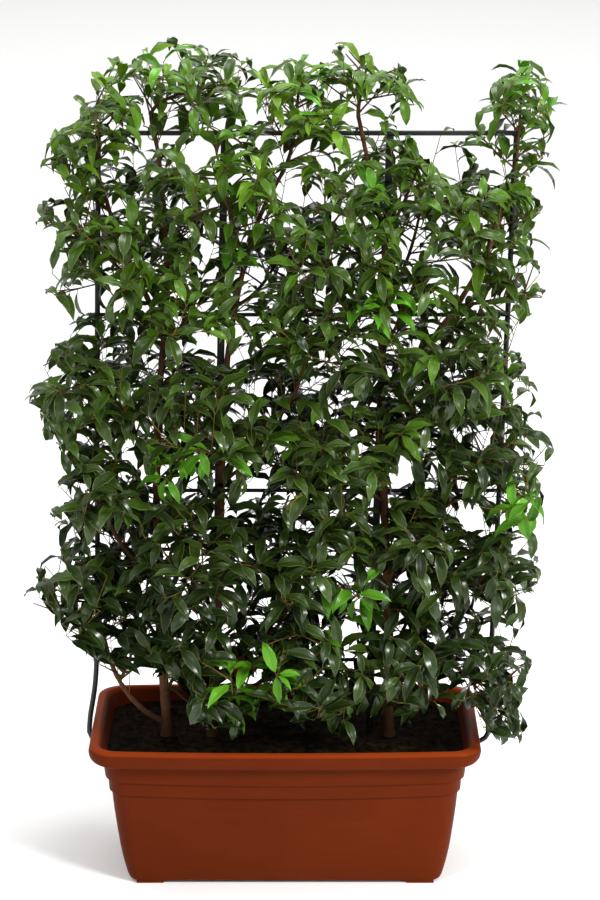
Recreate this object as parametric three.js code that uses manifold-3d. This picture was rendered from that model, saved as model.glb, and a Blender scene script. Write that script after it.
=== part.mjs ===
// A Portuguese laurel grown flat and wide: three slim trunks tied to a steel trellis, in a long trough.
// Millimetres, +Z up, +X to the right, +Y to the back. The origin is the middle of the trough's
// underside, at floor level.
import * as THREE from "three";
import { mergeVertices } from "three/addons/utils/BufferGeometryUtils.js";
import Module from "manifold-3d";

const wasm = await Module();
wasm.setup();
const { Manifold } = wasm;

// Clearances
const GAP = 0.3; // between pieces that touch
const LEAF_CLEARANCE = 1; // between foliage and whatever is not its own mass

// Trough of moulded plastic, with a rolled rim, two stepped bands and four feet
const TROUGH = {
  halfWidth: 405,
  halfDepth: 194, // at the corners: the long sides bow out past it
  corner: 50,
  cornerShrink: 0.3, // how fast the corner tightens as the wall steps in
  cornerPoints: 4,
  sideSpans: 4, // of each long side, between its corners
};
// The wall outside and inside: height over the floor, inset of the ends and of the long sides from the
// rim's edge, bow of the long sides
const WALL_OUTSIDE = [
  [8, 79, 56, 0],
  [14, 76, 54.5, 1],
  [28, 72, 53, 3],
  [52, 66, 51, 6],
  [82, 60.5, 49, 10],
  [124, 54.5, 47, 14],
  [168, 49, 44, 18],
  [207, 45.5, 42, 21],
  [209, 40.5, 38, 22],
  [238, 38.5, 37, 22],
  [240, 33, 31.5, 21],
  [281, 28.5, 28, 19],
  [282, 14, 5, 12],
  [286, 8, 1, 12],
  [293, 2, 0, 12],
  [306, 0, 0, 12],
  [313, 3, 3, 12],
  [316, 9, 9, 12],
];
const WALL_INSIDE = [
  [316, 17, 17, 12],
  [312, 24, 24, 12],
  [280, 38, 37, 18],
  [206, 55, 51, 21],
  [82, 69.5, 58, 10],
  [46, 76.5, 61, 5],
  [15, 84, 64, 1],
];
const FOOT = { outer: 311, inner: 255.5, slope: 13, near: 84, far: 136, sunk: 3 };
const SOIL_TOP = 290;
const SOIL_SIDE_GAP = 3.5; // to the bowed wall: the soil rests on the floor of the trough

// Trellis of black steel, leaning a little to the right
const TRELLIS = {
  centre: 14, // at the height of the rim
  rimZ: 316,
  lean: 0.0257,
  postSpan: 413.4,
  barSpan: 163.5,
  postRadius: 5.5,
  barSide: 15,
  railZ: 1560,
  railSide: 9,
  rodRadius: 4,
  rodSpacing: 372.4,
  rodCount: 3,
  overrun: 6, // of rail and rods past the posts
  tubeSides: 7,
};
// Each post ends in a hook that passes outside the rim and turns in under it
const HOOK = { z: 265, wall: 376, out: 411.5, turn: 14, top: 310, straight: 410 };
const TIE = { radius: 13.6, thickness: 1.3, y: -5.5, sides: 4, steps: 12 };

// Limbs: points on the centre line, or a start on another limb, and the radius at foot and tip
const FLARE = { height: 42, factor: 0.5 };
const GROUND = SOIL_TOP + GAP;
const LIMBS = [
  {
    name: "trunk_left",
    through: [
      [-247, -21, GROUND], [-261, -21, 600], [-259, -20, 948],
      [-236, -18, 1260], [-246, -14, 1500], [-262, -11, 1590],
    ],
    radii: [10.5, 4],
    sides: 8,
  },
  {
    name: "trunk_middle",
    through: [
      [-152, -24, GROUND], [-135, -21, 668], [-113, -20, 1120], [-57, -20, 1373], [4, -20, 1500],
    ],
    radii: [10, 4],
    sides: 8,
  },
  {
    name: "trunk_right",
    through: [
      [217, -22, GROUND], [214, -21, 558], [202, -21, 850], [196, -19, 1120],
      [199, -17, 1330], [158, -11, 1540], [146, -11, 1596],
    ],
    radii: [11, 4],
    sides: 8,
  },
  {
    name: "stem_low_left", on: "trunk_left", at: 312,
    bow: [-20, -12, -20], to: [-374, -50, 520], radii: [6, 4],
  },
  {
    name: "bough_left_middle", on: "trunk_left", at: 640,
    bow: [-8, -8, -16], to: [-368, -66, 800], radii: [5.5, 3.4],
  },
  {
    name: "bough_left_high", on: "trunk_left", at: 1165,
    bow: [-14, -8, 6], to: [-368, -28, 1490], radii: [6, 3.4],
  },
  {
    name: "bough_centre_low", on: "trunk_middle", at: 470,
    bow: [30, -20, -10], to: [8, -72, 600], radii: [5.5, 3.4],
  },
  {
    name: "bough_centre_high", on: "trunk_middle", at: 935,
    bow: [26, -20, -12], to: [30, -74, 1072], radii: [5.5, 3.4],
  },
  {
    name: "bough_right_trailing", on: "trunk_right", at: 385,
    bow: [10, -14, 42], to: [372, -92, 452], radii: [5, 3.2],
  },
  {
    name: "bough_right_low", on: "trunk_right", at: 520,
    bow: [-12, -12, 38], to: [340, -52, 628], radii: [5.5, 3.4],
  },
  {
    name: "bough_right_middle", on: "trunk_right", at: 625,
    bow: [-20, 6, 10], to: [376, -34, 828], radii: [5.5, 3.4],
  },
  {
    name: "bough_right_high", on: "trunk_right", at: 1040,
    bow: [30, -6, -22], to: [450, -24, 1462], radii: [7, 3.8],
  },
  {
    name: "bough_right_back", on: "trunk_right", at: 905,
    bow: [18, 0, -14], to: [322, 78, 1045], radii: [5.5, 3.4],
  },
];
const BOUGH_SIDES = 6;
const RING_SPACING = 115; // along a limb

// Masses of foliage: middle, reach, the limb that carries the mass and the height where its stem leaves
// that limb. A mass with no height grows on from the limb's tip. A mass behind the trellis has the side
// to which its stem first leaves.
const REACH = { inner: [165, 150, 165], centre: [165, 150, 155], back: [185, 140, 210] };
const MASSES = [
  { name: "left_1", middle: [-404, -70, 590], reach: [146, 165, 160], on: "stem_low_left" },
  { name: "left_2", middle: [-380, -105, 835], reach: [125, 160, 155], on: "bough_left_middle" },
  { name: "left_3", middle: [-400, -55, 1066], reach: [150, 170, 140], on: "trunk_left", at: 960 },
  { name: "left_4", middle: [-378, -95, 1325], reach: [138, 160, 165], on: "bough_left_high", at: 1262 },
  { name: "left_5", middle: [-385, -20, 1566], reach: [130, 200, 165], on: "bough_left_high" },
  { name: "peak_left", middle: [-190, -20, 1614], reach: [160, 200, 142], on: "trunk_left" },
  { name: "inner_1", middle: [-205, -125, 470], reach: REACH.inner, on: "trunk_left", at: 385 },
  { name: "inner_2", middle: [-180, -125, 720], reach: REACH.inner, on: "trunk_left", at: 700 },
  { name: "inner_3", middle: [-170, -125, 975], reach: REACH.inner, on: "trunk_middle", at: 880 },
  { name: "inner_4", middle: [-175, -125, 1225], reach: REACH.inner, on: "trunk_left", at: 1105 },
  { name: "inner_5", middle: [-120, -115, 1450], reach: REACH.inner, on: "trunk_middle", at: 1300 },
  { name: "centre_1", middle: [40, -120, 450], reach: REACH.centre, on: "trunk_middle", at: 372 },
  { name: "centre_2", middle: [62, -105, 680], reach: REACH.centre, on: "bough_centre_low" },
  { name: "centre_3", middle: [88, -125, 905], reach: REACH.centre, on: "trunk_right", at: 800 },
  { name: "centre_4", middle: [70, -110, 1140], reach: REACH.centre, on: "bough_centre_high" },
  { name: "centre_5", middle: [90, -115, 1375], reach: REACH.centre, on: "trunk_right", at: 1245 },
  { name: "peak_middle", middle: [22, -20, 1590], reach: [125, 195, 140], on: "trunk_middle" },
  { name: "peak_centre", middle: [155, -20, 1626], reach: [125, 195, 140], on: "trunk_right" },
  { name: "right_1", middle: [432, -100, 400], reach: [118, 140, 165], on: "bough_right_trailing" },
  { name: "right_2", middle: [410, -85, 640], reach: [138, 165, 145], on: "bough_right_low" },
  { name: "right_3", middle: [432, -60, 880], reach: [122, 170, 150], on: "bough_right_middle" },
  { name: "right_4", middle: [385, -95, 1120], reach: [150, 160, 150], on: "bough_right_high", at: 1120 },
  { name: "right_5", middle: [412, -70, 1350], reach: [138, 170, 150], on: "bough_right_high", at: 1290 },
  { name: "peak_right", middle: [462, -20, 1575], reach: [94, 185, 142], on: "bough_right_high" },
  { name: "back_left_1", middle: [-330, 120, 620], reach: REACH.back, on: "trunk_left", at: 500, side: -1 },
  { name: "back_left_2", middle: [-310, 125, 960], reach: REACH.back, on: "trunk_left", at: 860, side: -1 },
  { name: "back_left_3", middle: [-300, 120, 1300], reach: REACH.back, on: "trunk_left", at: 1210, side: -1 },
  { name: "back_centre_1", middle: [-20, 125, 560], reach: REACH.back, on: "trunk_middle", at: 500, side: 1 },
  { name: "back_centre_2", middle: [-20, 130, 900], reach: REACH.back, on: "trunk_middle", at: 845, side: 1 },
  {
    name: "back_centre_3", middle: [-10, 120, 1260], reach: REACH.back,
    on: "trunk_middle", at: 1215, side: 1,
  },
  { name: "back_right_1", middle: [290, 120, 600], reach: REACH.back, on: "trunk_right", at: 478, side: 1 },
  { name: "back_right_2", middle: [300, 125, 980], reach: REACH.back, on: "bough_right_back" },
  { name: "back_right_3", middle: [270, 115, 1350], reach: REACH.back, on: "trunk_right", at: 1230, side: 1 },
];

// Growth inside a mass
const GOLDEN_ANGLE = THREE.MathUtils.degToRad(137.5);
const MASS_MARGIN = 0.8; // to the border between two masses
const CROWN_DEPTH_SHARE = 0.55; // how much the depth between leaves counts against what shows in front
const LEADER = {
  radii: [6.4, 4.8],
  sides: 3,
  rings: 4,
  reach: 0.35, // past the middle of its mass, of the reach
  lift: 0.4, // of its tip, of the reach upward
  sideways: 58, // of the first way of a stem that passes the trellis
  swing: 25,
  latestEntry: 0.6, // into the space of its mass, of its length
};
const TWIG = {
  count: 4,
  radii: [2.9, 2.3],
  first: 0.3, // of a spacing past the leader's entry
  outward: 1.7,
  short: 38, // of the border
  shortest: 30,
  tries: 6,
};
const LEAF = {
  length: 172,
  sizes: [1, 0.84, 0.68], // that are tried, of the length
  width: 0.46, // of its length
  thickness: 0.02, // of its length
  arch: 0.12, // of its length
  middle: 0.45, // where it is widest
  spacing: 44, // along a twig
  from: 0.25, // of a twig, free of leaves before it
  turns: 8, // ways round the twig that are tried
  outward: [0.5, 1.1], // leanings away from the twig that are tried
  sags: [-0.2, 0.35, 0.9], // leanings down that are tried
  facing: 0.8, // how far its blade turns to the front or the back
  forward: 0.4, // how far it turns to the twig's tip
  heart: 0.6, // of its length, the point whose distance from other leaves counts
  root: 0.5, // sunk past the twig's middle
};

// Colours and finishes
const FINISH = {
  plastic: new THREE.MeshStandardMaterial({ color: 0x9c3d17, roughness: 0.42, metalness: 0 }),
  soil: new THREE.MeshStandardMaterial({ color: 0x1b130e, roughness: 1, metalness: 0 }),
  steel: new THREE.MeshStandardMaterial({ color: 0x141517, roughness: 0.4, metalness: 0.6 }),
  tie: new THREE.MeshStandardMaterial({ color: 0x202124, roughness: 0.6, metalness: 0 }),
  bark: new THREE.MeshStandardMaterial({ color: 0x5a3b2c, roughness: 0.85, metalness: 0 }),
  foliage: new THREE.MeshStandardMaterial({ color: 0x2f5a22, roughness: 0.4, metalness: 0 }),
};

const UP = new THREE.Vector3(0, 0, 1);
const AXES = [new THREE.Vector3(1, 0, 0), new THREE.Vector3(0, 1, 0), UP];
const vector = (values) => new THREE.Vector3(...values);

// Solids

// A repeatable source of numbers from 0 to 1.
function seeded(seed) {
  let state = seed;
  return () => {
    state = (state + 0x6d2b79f5) | 0;
    let mixed = Math.imul(state ^ (state >>> 15), 1 | state);
    mixed = (mixed + Math.imul(mixed ^ (mixed >>> 7), 61 | mixed)) ^ mixed;
    return ((mixed ^ (mixed >>> 14)) >>> 0) / 4294967296;
  };
}

// A geometry from triangles of points, each anticlockwise seen from outside.
function fromFaces(faces) {
  const corners = faces.flat().flatMap((point) => point.toArray());
  return new THREE.BufferGeometry().setAttribute("position", new THREE.Float32BufferAttribute(corners, 3));
}

function solidOf(geometry) {
  const loose = geometry.index ? geometry.toNonIndexed() : geometry;
  const shape = new THREE.BufferGeometry().setAttribute("position", loose.getAttribute("position"));
  const merged = mergeVertices(shape, 1e-3);
  return new Manifold(
    new wasm.Mesh({
      numProp: 3,
      vertProperties: merged.attributes.position.array,
      triVerts: new Uint32Array(merged.index.array),
    }),
  );
}

// The largest body of a solid, which drops loose scraps and fills sealed hollows.
function largestBody(solid) {
  return solid.decompose().sort((a, b) => b.volume() - a.volume())[0];
}

function geometryOf(solid) {
  const mesh = solid.getMesh();
  const geometry = new THREE.BufferGeometry();
  geometry.setAttribute("position", new THREE.BufferAttribute(mesh.vertProperties, mesh.numProp));
  geometry.setIndex(new THREE.BufferAttribute(mesh.triVerts, 1));
  return geometry;
}

// A closed body over rings of equally many points, each anticlockwise seen from where the rings lead.
function loft(rings) {
  const first = rings[0];
  const last = rings.at(-1);
  const faces = [];
  first.forEach((_, j) => {
    const next = (j + 1) % first.length;
    if (j > 0 && next > 0) faces.push([first[0], first[next], first[j]], [last[0], last[j], last[next]]);
    for (let i = 1; i < rings.length; i++) {
      const lower = rings[i - 1];
      const upper = rings[i];
      faces.push([lower[j], lower[next], upper[next]], [lower[j], upper[next], upper[j]]);
    }
  });
  return solidOf(fromFaces(faces));
}

const evenSteps = (count) => Array.from({ length: count }, (_, i) => i / (count - 1));

// A round body along a curve, with a ring at each station from 0 to 1. A level foot lies flat.
function sweep(curve, { stations, sides, radiusAt, levelFoot = false }) {
  const start = curve.getTangentAt(0);
  const across = AXES.reduce((a, b) => (Math.abs(b.dot(start)) < Math.abs(a.dot(start)) ? b : a));
  const normal = across.clone();
  const rings = stations.map((along, index) => {
    const tangent = curve.getTangentAt(along);
    normal.addScaledVector(tangent, -normal.dot(tangent)).normalize();
    const binormal = tangent.clone().cross(normal);
    const middle = curve.getPointAt(along);
    return Array.from({ length: sides }, (_, j) => {
      const angle = (2 * Math.PI * j) / sides;
      const point = middle.clone();
      point.addScaledVector(normal, radiusAt(along) * Math.cos(angle));
      point.addScaledVector(binormal, radiusAt(along) * Math.sin(angle));
      if (levelFoot && index === 0) point.z = middle.z;
      return point;
    });
  });
  return loft(rings);
}

// Trough and soil

// One level of the trough: a rounded rectangle whose long sides bow out, anticlockwise from above.
function troughRing(z, end, side, bow) {
  const halfWidth = TROUGH.halfWidth - end;
  const halfDepth = TROUGH.halfDepth - side;
  const corner = TROUGH.corner - TROUGH.cornerShrink * end;
  const straight = halfWidth - corner;
  const ring = [];
  const add = (x, y) => {
    const bulge = bow * (1 - (x / halfWidth) ** 2);
    ring.push(new THREE.Vector3(x, y + Math.sign(y) * bulge, z));
  };
  const corners = [[1, -1], [1, 1], [-1, 1], [-1, -1]];
  corners.forEach(([right, back], index) => {
    for (let i = 0; i < TROUGH.cornerPoints; i++) {
      const turn = (Math.PI / 2) * (index - 1 + i / (TROUGH.cornerPoints - 1));
      add(right * straight + corner * Math.cos(turn), back * (halfDepth - corner) + corner * Math.sin(turn));
    }
    for (let i = 1; i < TROUGH.sideSpans && right === back; i++) {
      add(right * straight * (1 - (2 * i) / TROUGH.sideSpans), back * halfDepth);
    }
  });
  return ring;
}

// A foot under one corner: a flat pad whose inner end slopes up into the underside.
function troughFoot(right, back) {
  const top = WALL_OUTSIDE[0][0] + FOOT.sunk;
  const outline = new THREE.Shape();
  outline.moveTo(right * FOOT.inner, 0);
  outline.lineTo(right * FOOT.outer, 0);
  outline.lineTo(right * FOOT.outer, top);
  outline.lineTo(right * (FOOT.inner - FOOT.slope), top);
  outline.closePath();
  const foot = new THREE.ExtrudeGeometry(outline, { depth: FOOT.far - FOOT.near, bevelEnabled: false });
  foot.rotateX(Math.PI / 2);
  foot.translate(0, back > 0 ? FOOT.far : -FOOT.near, 0);
  return solidOf(foot);
}

// The trough, or with a clearance the room that it needs.
function trough(clearance = 0) {
  const grown = (wall, out) =>
    wall.map(([z, end, side, bow]) => troughRing(z + clearance, end - out, side - out, bow));
  const outside = grown(WALL_OUTSIDE, clearance);
  const inside = grown(WALL_INSIDE, -clearance);
  const feet = [[1, 1], [1, -1], [-1, 1], [-1, -1]].map(([right, back]) => troughFoot(right, back));
  return Manifold.union([loft([...outside, ...inside]), ...feet]);
}

// The inside wall's insets and bow at a height.
function insideAt(z) {
  const lower = WALL_INSIDE.findIndex(([height]) => height <= z);
  const [z0, ...below] = WALL_INSIDE[lower];
  const [z1, ...above] = WALL_INSIDE[lower - 1];
  return below.map((value, i) => THREE.MathUtils.lerp(value, above[i], (z - z0) / (z1 - z0)));
}

function soil(clearance = 0) {
  const wall = WALL_INSIDE.filter(([z]) => z < SOIL_TOP).reverse();
  const levels = [...wall, [SOIL_TOP, ...insideAt(SOIL_TOP)]];
  const [floor] = wall[0];
  return loft(
    levels.map(([z, end, side, bow]) => {
      const height = z === floor ? z + GAP : z;
      const level = z === SOIL_TOP ? z + clearance : height;
      return troughRing(level, end + SOIL_SIDE_GAP, side + SOIL_SIDE_GAP, bow);
    }),
  );
}

// Trellis

const trellisX = (offset, z) => TRELLIS.centre + offset + TRELLIS.lean * (z - TRELLIS.rimZ);
const underRail = TRELLIS.railZ - TRELLIS.railSide / 2 - GAP;

function post(side, clearance = 0) {
  const radius = TRELLIS.postRadius;
  const at = (x, z) => new THREE.Vector3(x, 0, z);
  const span = side * TRELLIS.postSpan;
  const out = side < 0 ? -HOOK.out : trellisX(span, HOOK.top);
  const hook = [
    at(side * (HOOK.wall + GAP), HOOK.z),
    at(out - side * HOOK.turn, HOOK.z),
    at(out, HOOK.z + HOOK.turn),
    at(out, HOOK.top),
  ];
  const heights = [HOOK.straight, (HOOK.straight + underRail) / 2, underRail];
  const straight = heights.map((z) => at(trellisX(span, z), z));
  const curve = new THREE.CatmullRomCurve3([...hook, ...straight], false, "centripetal");
  const bend = (HOOK.straight - HOOK.z + HOOK.out - HOOK.wall) / curve.getLength();
  const stations = [...evenSteps(15).map((step) => step * bend), 0.5, 1];
  return sweep(curve, { stations, sides: TRELLIS.tubeSides, radiusAt: () => radius + clearance });
}

function bar(side, clearance = 0) {
  const foot = SOIL_TOP + GAP;
  const width = TRELLIS.barSide + 2 * clearance;
  const shape = new THREE.BoxGeometry(width, width, underRail - foot);
  const lean = new THREE.Matrix4().makeShear(0, 0, 0, 0, TRELLIS.lean, 0);
  shape.applyMatrix4(lean);
  const middle = (foot + underRail) / 2;
  shape.translate(trellisX(side * TRELLIS.barSpan, middle), 0, middle);
  return solidOf(shape);
}

function acrossPosts(z) {
  const left = trellisX(-TRELLIS.postSpan, z) - TRELLIS.overrun;
  const right = trellisX(TRELLIS.postSpan, z) + TRELLIS.overrun;
  return { length: right - left, middle: (left + right) / 2 };
}

function topRail(clearance = 0) {
  const { length, middle } = acrossPosts(TRELLIS.railZ);
  const side = TRELLIS.railSide + 2 * clearance;
  const shape = new THREE.BoxGeometry(length, side, side);
  shape.translate(middle, 0, TRELLIS.railZ);
  return solidOf(shape);
}

function crossRod(index, clearance = 0) {
  const z = TRELLIS.railZ - index * TRELLIS.rodSpacing;
  const { length, middle } = acrossPosts(z);
  const radius = TRELLIS.rodRadius + clearance;
  const shape = new THREE.CylinderGeometry(radius, radius, length, TRELLIS.tubeSides);
  shape.rotateZ(Math.PI / 2);
  shape.translate(middle, TRELLIS.barSide / 2 + GAP + TRELLIS.rodRadius, z);
  return solidOf(shape);
}

const rodIndexes = Array.from({ length: TRELLIS.rodCount }, (_, i) => i + 1);

// A loop of plastic tie round the top rail and the trunk that crosses it.
function tie(limb) {
  const shape = new THREE.TorusGeometry(TIE.radius, TIE.thickness, TIE.sides, TIE.steps);
  shape.rotateY(Math.PI / 4);
  shape.translate(pointAtHeight(limb.curve, TRELLIS.railZ).x, TIE.y, TRELLIS.railZ);
  return solidOf(shape);
}

// Limbs

// The point of an upward curve at a height.
function pointAtHeight(curve, z) {
  let low = 0;
  let high = 1;
  for (let i = 0; i < 24; i++) {
    const middle = (low + high) / 2;
    if (curve.getPointAt(middle).z < z) low = middle;
    else high = middle;
  }
  return curve.getPointAt(low);
}

function limbCurve(limb, grown) {
  if (limb.through) {
    return new THREE.CatmullRomCurve3(limb.through.map(vector), false, "centripetal");
  }
  const start = pointAtHeight(grown.get(limb.on).curve, limb.at);
  const end = vector(limb.to);
  const bend = start.clone().lerp(end, 0.5).addScaledVector(vector(limb.bow), 2);
  return new THREE.QuadraticBezierCurve3(start, bend, end);
}

function limbSolid(limb, curve, clearance = 0) {
  const length = curve.getLength();
  const [foot, tip] = limb.radii;
  const radiusAt = (along) => {
    const rooted = limb.through ? Math.max(0, 1 - (along * length) / FLARE.height) ** 2 : 0;
    return THREE.MathUtils.lerp(foot, tip, along) + foot * FLARE.factor * rooted + clearance;
  };
  const even = evenSteps(Math.max(4, Math.round(length / RING_SPACING)));
  const flare = limb.through ? [FLARE.height / length / 2, FLARE.height / length] : [];
  const stations = [...even, ...flare].sort((a, b) => a - b);
  const sides = limb.sides ?? BOUGH_SIDES;
  return sweep(curve, { stations, sides, radiusAt, levelFoot: Boolean(limb.through) });
}

// Each limb with its curve, its solid and the room it needs. One that grows on another is cut clear of it.
function growLimbs() {
  const grown = new Map();
  for (const limb of LIMBS) {
    const curve = limbCurve(limb, grown);
    const whole = limbSolid(limb, curve);
    const host = limb.on ? grown.get(limb.on) : null;
    const solid = host ? largestBody(whole.subtract(host.room(GAP))) : whole;
    grown.set(limb.name, { curve, solid, room: (clearance) => limbSolid(limb, curve, clearance) });
  }
  return grown;
}

// Foliage

// Whether a solid meets none of the others.
const apart = (solid, others) => others.every((other) => other.intersect(solid).isEmpty());

// The stem of a mass, from the limb that carries it to the upper part of the mass's space.
function leaderCurve(mass, limb) {
  const middle = vector(mass.middle);
  const reach = vector(mass.reach);
  const start = mass.at ? pointAtHeight(limb.curve, mass.at) : limb.curve.getPointAt(1);
  const onward = limb.curve.getTangentAt(1);
  if (!mass.at) start.addScaledVector(onward, GAP);
  const away = middle.clone().sub(start);
  const tip = away.clone().normalize().multiply(reach).multiplyScalar(LEADER.reach).add(middle);
  tip.addScaledVector(UP, LEADER.lift * reach.z);
  const bend = mass.at
    ? start.clone().lerp(middle, 0.5)
    : start.clone().addScaledVector(onward, away.length() / 2);
  if (mass.side) {
    bend.x = start.x + mass.side * LEADER.sideways;
    bend.y = start.y - LEADER.swing;
  }
  return new THREE.QuadraticBezierCurve3(start, bend, tip);
}

function leaderSolid(curve, clearance = 0) {
  const radiusAt = (along) => THREE.MathUtils.lerp(...LEADER.radii, along) + clearance;
  return sweep(curve, { stations: evenSteps(LEADER.rings), sides: LEADER.sides, radiusAt });
}

// Whether a point is within a mass's reach and nearer to its middle than to any other's.
function inSpace(mass, point) {
  const middle = vector(mass.middle);
  if (point.clone().sub(middle).divide(vector(mass.reach)).length() > 1) return false;
  return MASSES.every((other) => {
    if (other === mass) return true;
    const between = vector(other.middle).sub(middle);
    const border = middle.clone().addScaledVector(between, 0.5);
    return border.sub(point).dot(between.normalize()) > MASS_MARGIN;
  });
}

// How far a straight way stays in a mass's space.
function roomAlong(mass, start, direction) {
  const step = 4;
  let room = 0;
  while (inSpace(mass, start.clone().addScaledVector(direction, room + step))) room += step;
  return room;
}

// A unit vector across a direction, turned about it by an angle.
function across(direction, angle) {
  const side = Math.abs(direction.dot(UP)) > 0.9 ? AXES[0] : UP;
  return side.clone().cross(direction).normalize().applyAxisAngle(direction, angle);
}

function growTwig(start, end) {
  const curve = new THREE.LineCurve3(start, end);
  const radiusAt = (along) => THREE.MathUtils.lerp(...TWIG.radii, along);
  return { curve, solid: sweep(curve, { stations: [0, 1], sides: 3, radiusAt }) };
}

// A leaf of eight faces: root, tip, both edges, and its upper and under side at the widest place.
function leafPoints(root, direction, facing, length) {
  const normal = facing.clone().addScaledVector(direction, -facing.dot(direction)).normalize();
  const edge = normal.clone().cross(direction);
  const middle = root.clone().addScaledVector(direction, LEAF.middle * length);
  middle.addScaledVector(normal, LEAF.arch * length);
  const half = (LEAF.width * length) / 2;
  const thick = (LEAF.thickness * length) / 2;
  return {
    root: root.clone().addScaledVector(direction, -LEAF.root),
    tip: root.clone().addScaledVector(direction, length),
    left: middle.clone().addScaledVector(edge, half),
    right: middle.clone().addScaledVector(edge, -half),
    top: middle.clone().addScaledVector(normal, thick),
    under: middle.clone().addScaledVector(normal, -thick),
  };
}

function leafSolid({ root, tip, left, right, top, under }) {
  return solidOf(
    fromFaces([
      [root, right, top], [right, tip, top], [tip, left, top], [left, root, top],
      [right, root, under], [tip, right, under], [left, tip, under], [root, left, under],
    ]),
  );
}

// Where along its leader a mass begins.
function entryOf(mass, leader) {
  const entry = evenSteps(40).find((along) => inSpace(mass, leader.getPointAt(along)));
  return Math.min(entry ?? LEADER.latestEntry, LEADER.latestEntry);
}

// Side twigs at the golden angle round the leader, each as long as the mass's space lets it be.
function growTwigs(mass, leader, isClear) {
  const entry = entryOf(mass, leader);
  const twigs = [];
  for (let k = 0; k < TWIG.count; k++) {
    const along = THREE.MathUtils.lerp(entry, 1, (k + TWIG.first) / TWIG.count);
    const start = leader.getPointAt(along);
    const onward = leader.getTangentAt(along);
    for (let attempt = 0; attempt < TWIG.tries; attempt++) {
      const angle = k * GOLDEN_ANGLE + attempt * (Math.PI / 3);
      const direction = onward.clone().addScaledVector(across(onward, angle), TWIG.outward).normalize();
      const length = roomAlong(mass, start, direction) - TWIG.short;
      if (length < TWIG.shortest) continue;
      const twig = growTwig(start, start.clone().addScaledVector(direction, length));
      if (!isClear(twig.solid)) continue;
      twigs.push(twig);
      break;
    }
  }
  return twigs;
}

// How far two points are apart, mostly as seen from the front: the crown is a screen.
function spread(a, b) {
  return Math.hypot(a.x - b.x, CROWN_DEPTH_SHARE * (a.y - b.y), a.z - b.z);
}

// Every way in which a leaf could grow at a point of a stem, the roomiest first.
function leafChoices(mass, curve, along, turned, grown) {
  const root = curve.getPointAt(along);
  const onward = curve.getTangentAt(along);
  const outside = new THREE.Vector3(0, Math.sign(mass.middle[1]) * LEAF.facing, 0);
  const facing = UP.clone().add(outside).addScaledVector(onward, LEAF.forward);
  const choices = [];
  for (let turn = 0; turn < LEAF.turns; turn++) {
    const side = across(onward, turned + (turn * 2 * Math.PI) / LEAF.turns);
    for (const outward of LEAF.outward) {
      for (const sag of LEAF.sags) {
        const direction = onward.clone().addScaledVector(side, outward).addScaledVector(UP, -sag).normalize();
        for (const size of LEAF.sizes) {
          const points = leafPoints(root, direction, facing, size * LEAF.length);
          const { tip, left, right, top } = points;
          if (![tip, left, right, top].every((point) => inSpace(mass, point))) continue;
          const middle = root.clone().lerp(tip, LEAF.heart);
          const room = Math.min(LEAF.length, ...grown.map((other) => spread(other, middle)));
          choices.push({ points, middle, worth: room * size });
          break;
        }
      }
    }
  }
  return choices.sort((a, b) => b.worth - a.worth);
}

// Leaves along a stem, each turned to where the crown is still open and apart from the leaves so far.
function growLeaves(mass, curve, { from, draw, isFree }, grown) {
  const length = curve.getLength() * (1 - from);
  const count = Math.max(1, Math.round(length / LEAF.spacing));
  const leaves = [];
  for (let k = 0; k <= count; k++) {
    const along = THREE.MathUtils.lerp(from, 1, k / count);
    for (const choice of leafChoices(mass, curve, along, draw() * Math.PI, grown)) {
      const leaf = leafSolid(choice.points);
      if (!isFree(leaf) || !apart(leaf, leaves)) continue;
      leaves.push(leaf);
      grown.push(choice.middle);
      break;
    }
  }
  return leaves;
}

// All masses, each one solid of stem, twigs and leaves.
function growFoliage(limbs, fixed) {
  const stems = MASSES.map((mass) => {
    const limb = limbs.get(mass.on);
    const curve = leaderCurve(mass, limb);
    const whole = leaderSolid(curve);
    const solid = mass.at ? largestBody(whole.subtract(limb.room(GAP))) : whole;
    return { mass, curve, solid, room: leaderSolid(curve, LEAF_CLEARANCE) };
  });
  const taken = Manifold.union([...fixed, ...[...limbs.values()].map((limb) => limb.room(LEAF_CLEARANCE))]);
  const grown = [];
  return stems.map((stem, index) => {
    const others = stems.filter((other) => other !== stem).map((other) => other.room);
    const isClear = (solid) => apart(solid, [taken, ...others]);
    const draw = seeded(index + 1);
    const twigs = growTwigs(stem.mass, stem.curve, isClear);
    const wood = [stem, ...twigs];
    const leaves = [];
    for (const shoot of [...twigs, stem]) {
      const crossed = wood.filter((other) => other !== shoot).map((other) => other.solid);
      const isFree = (leaf) => isClear(leaf) && apart(leaf, [...crossed, ...leaves]);
      const from = shoot === stem ? entryOf(stem.mass, stem.curve) : LEAF.from;
      leaves.push(...growLeaves(stem.mass, shoot.curve, { from, draw, isFree }, grown));
    }
    const whole = Manifold.union([...wood.map((part) => part.solid), ...leaves]);
    return { name: `foliage_${stem.mass.name}`, solid: largestBody(whole) };
  });
}

// Assembly

const plant = new THREE.Group();

function addPiece(name, solid, finish) {
  const mesh = new THREE.Mesh(geometryOf(solid), finish);
  mesh.name = name;
  plant.add(mesh);
}

const limbs = growLimbs();
const fixed = [
  trough(LEAF_CLEARANCE),
  soil(LEAF_CLEARANCE),
  topRail(LEAF_CLEARANCE),
  ...[-1, 1].flatMap((side) => [post(side, LEAF_CLEARANCE), bar(side, LEAF_CLEARANCE)]),
  ...rodIndexes.map((index) => crossRod(index, LEAF_CLEARANCE)),
  tie(limbs.get("trunk_left")),
  tie(limbs.get("trunk_right")),
];

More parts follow.
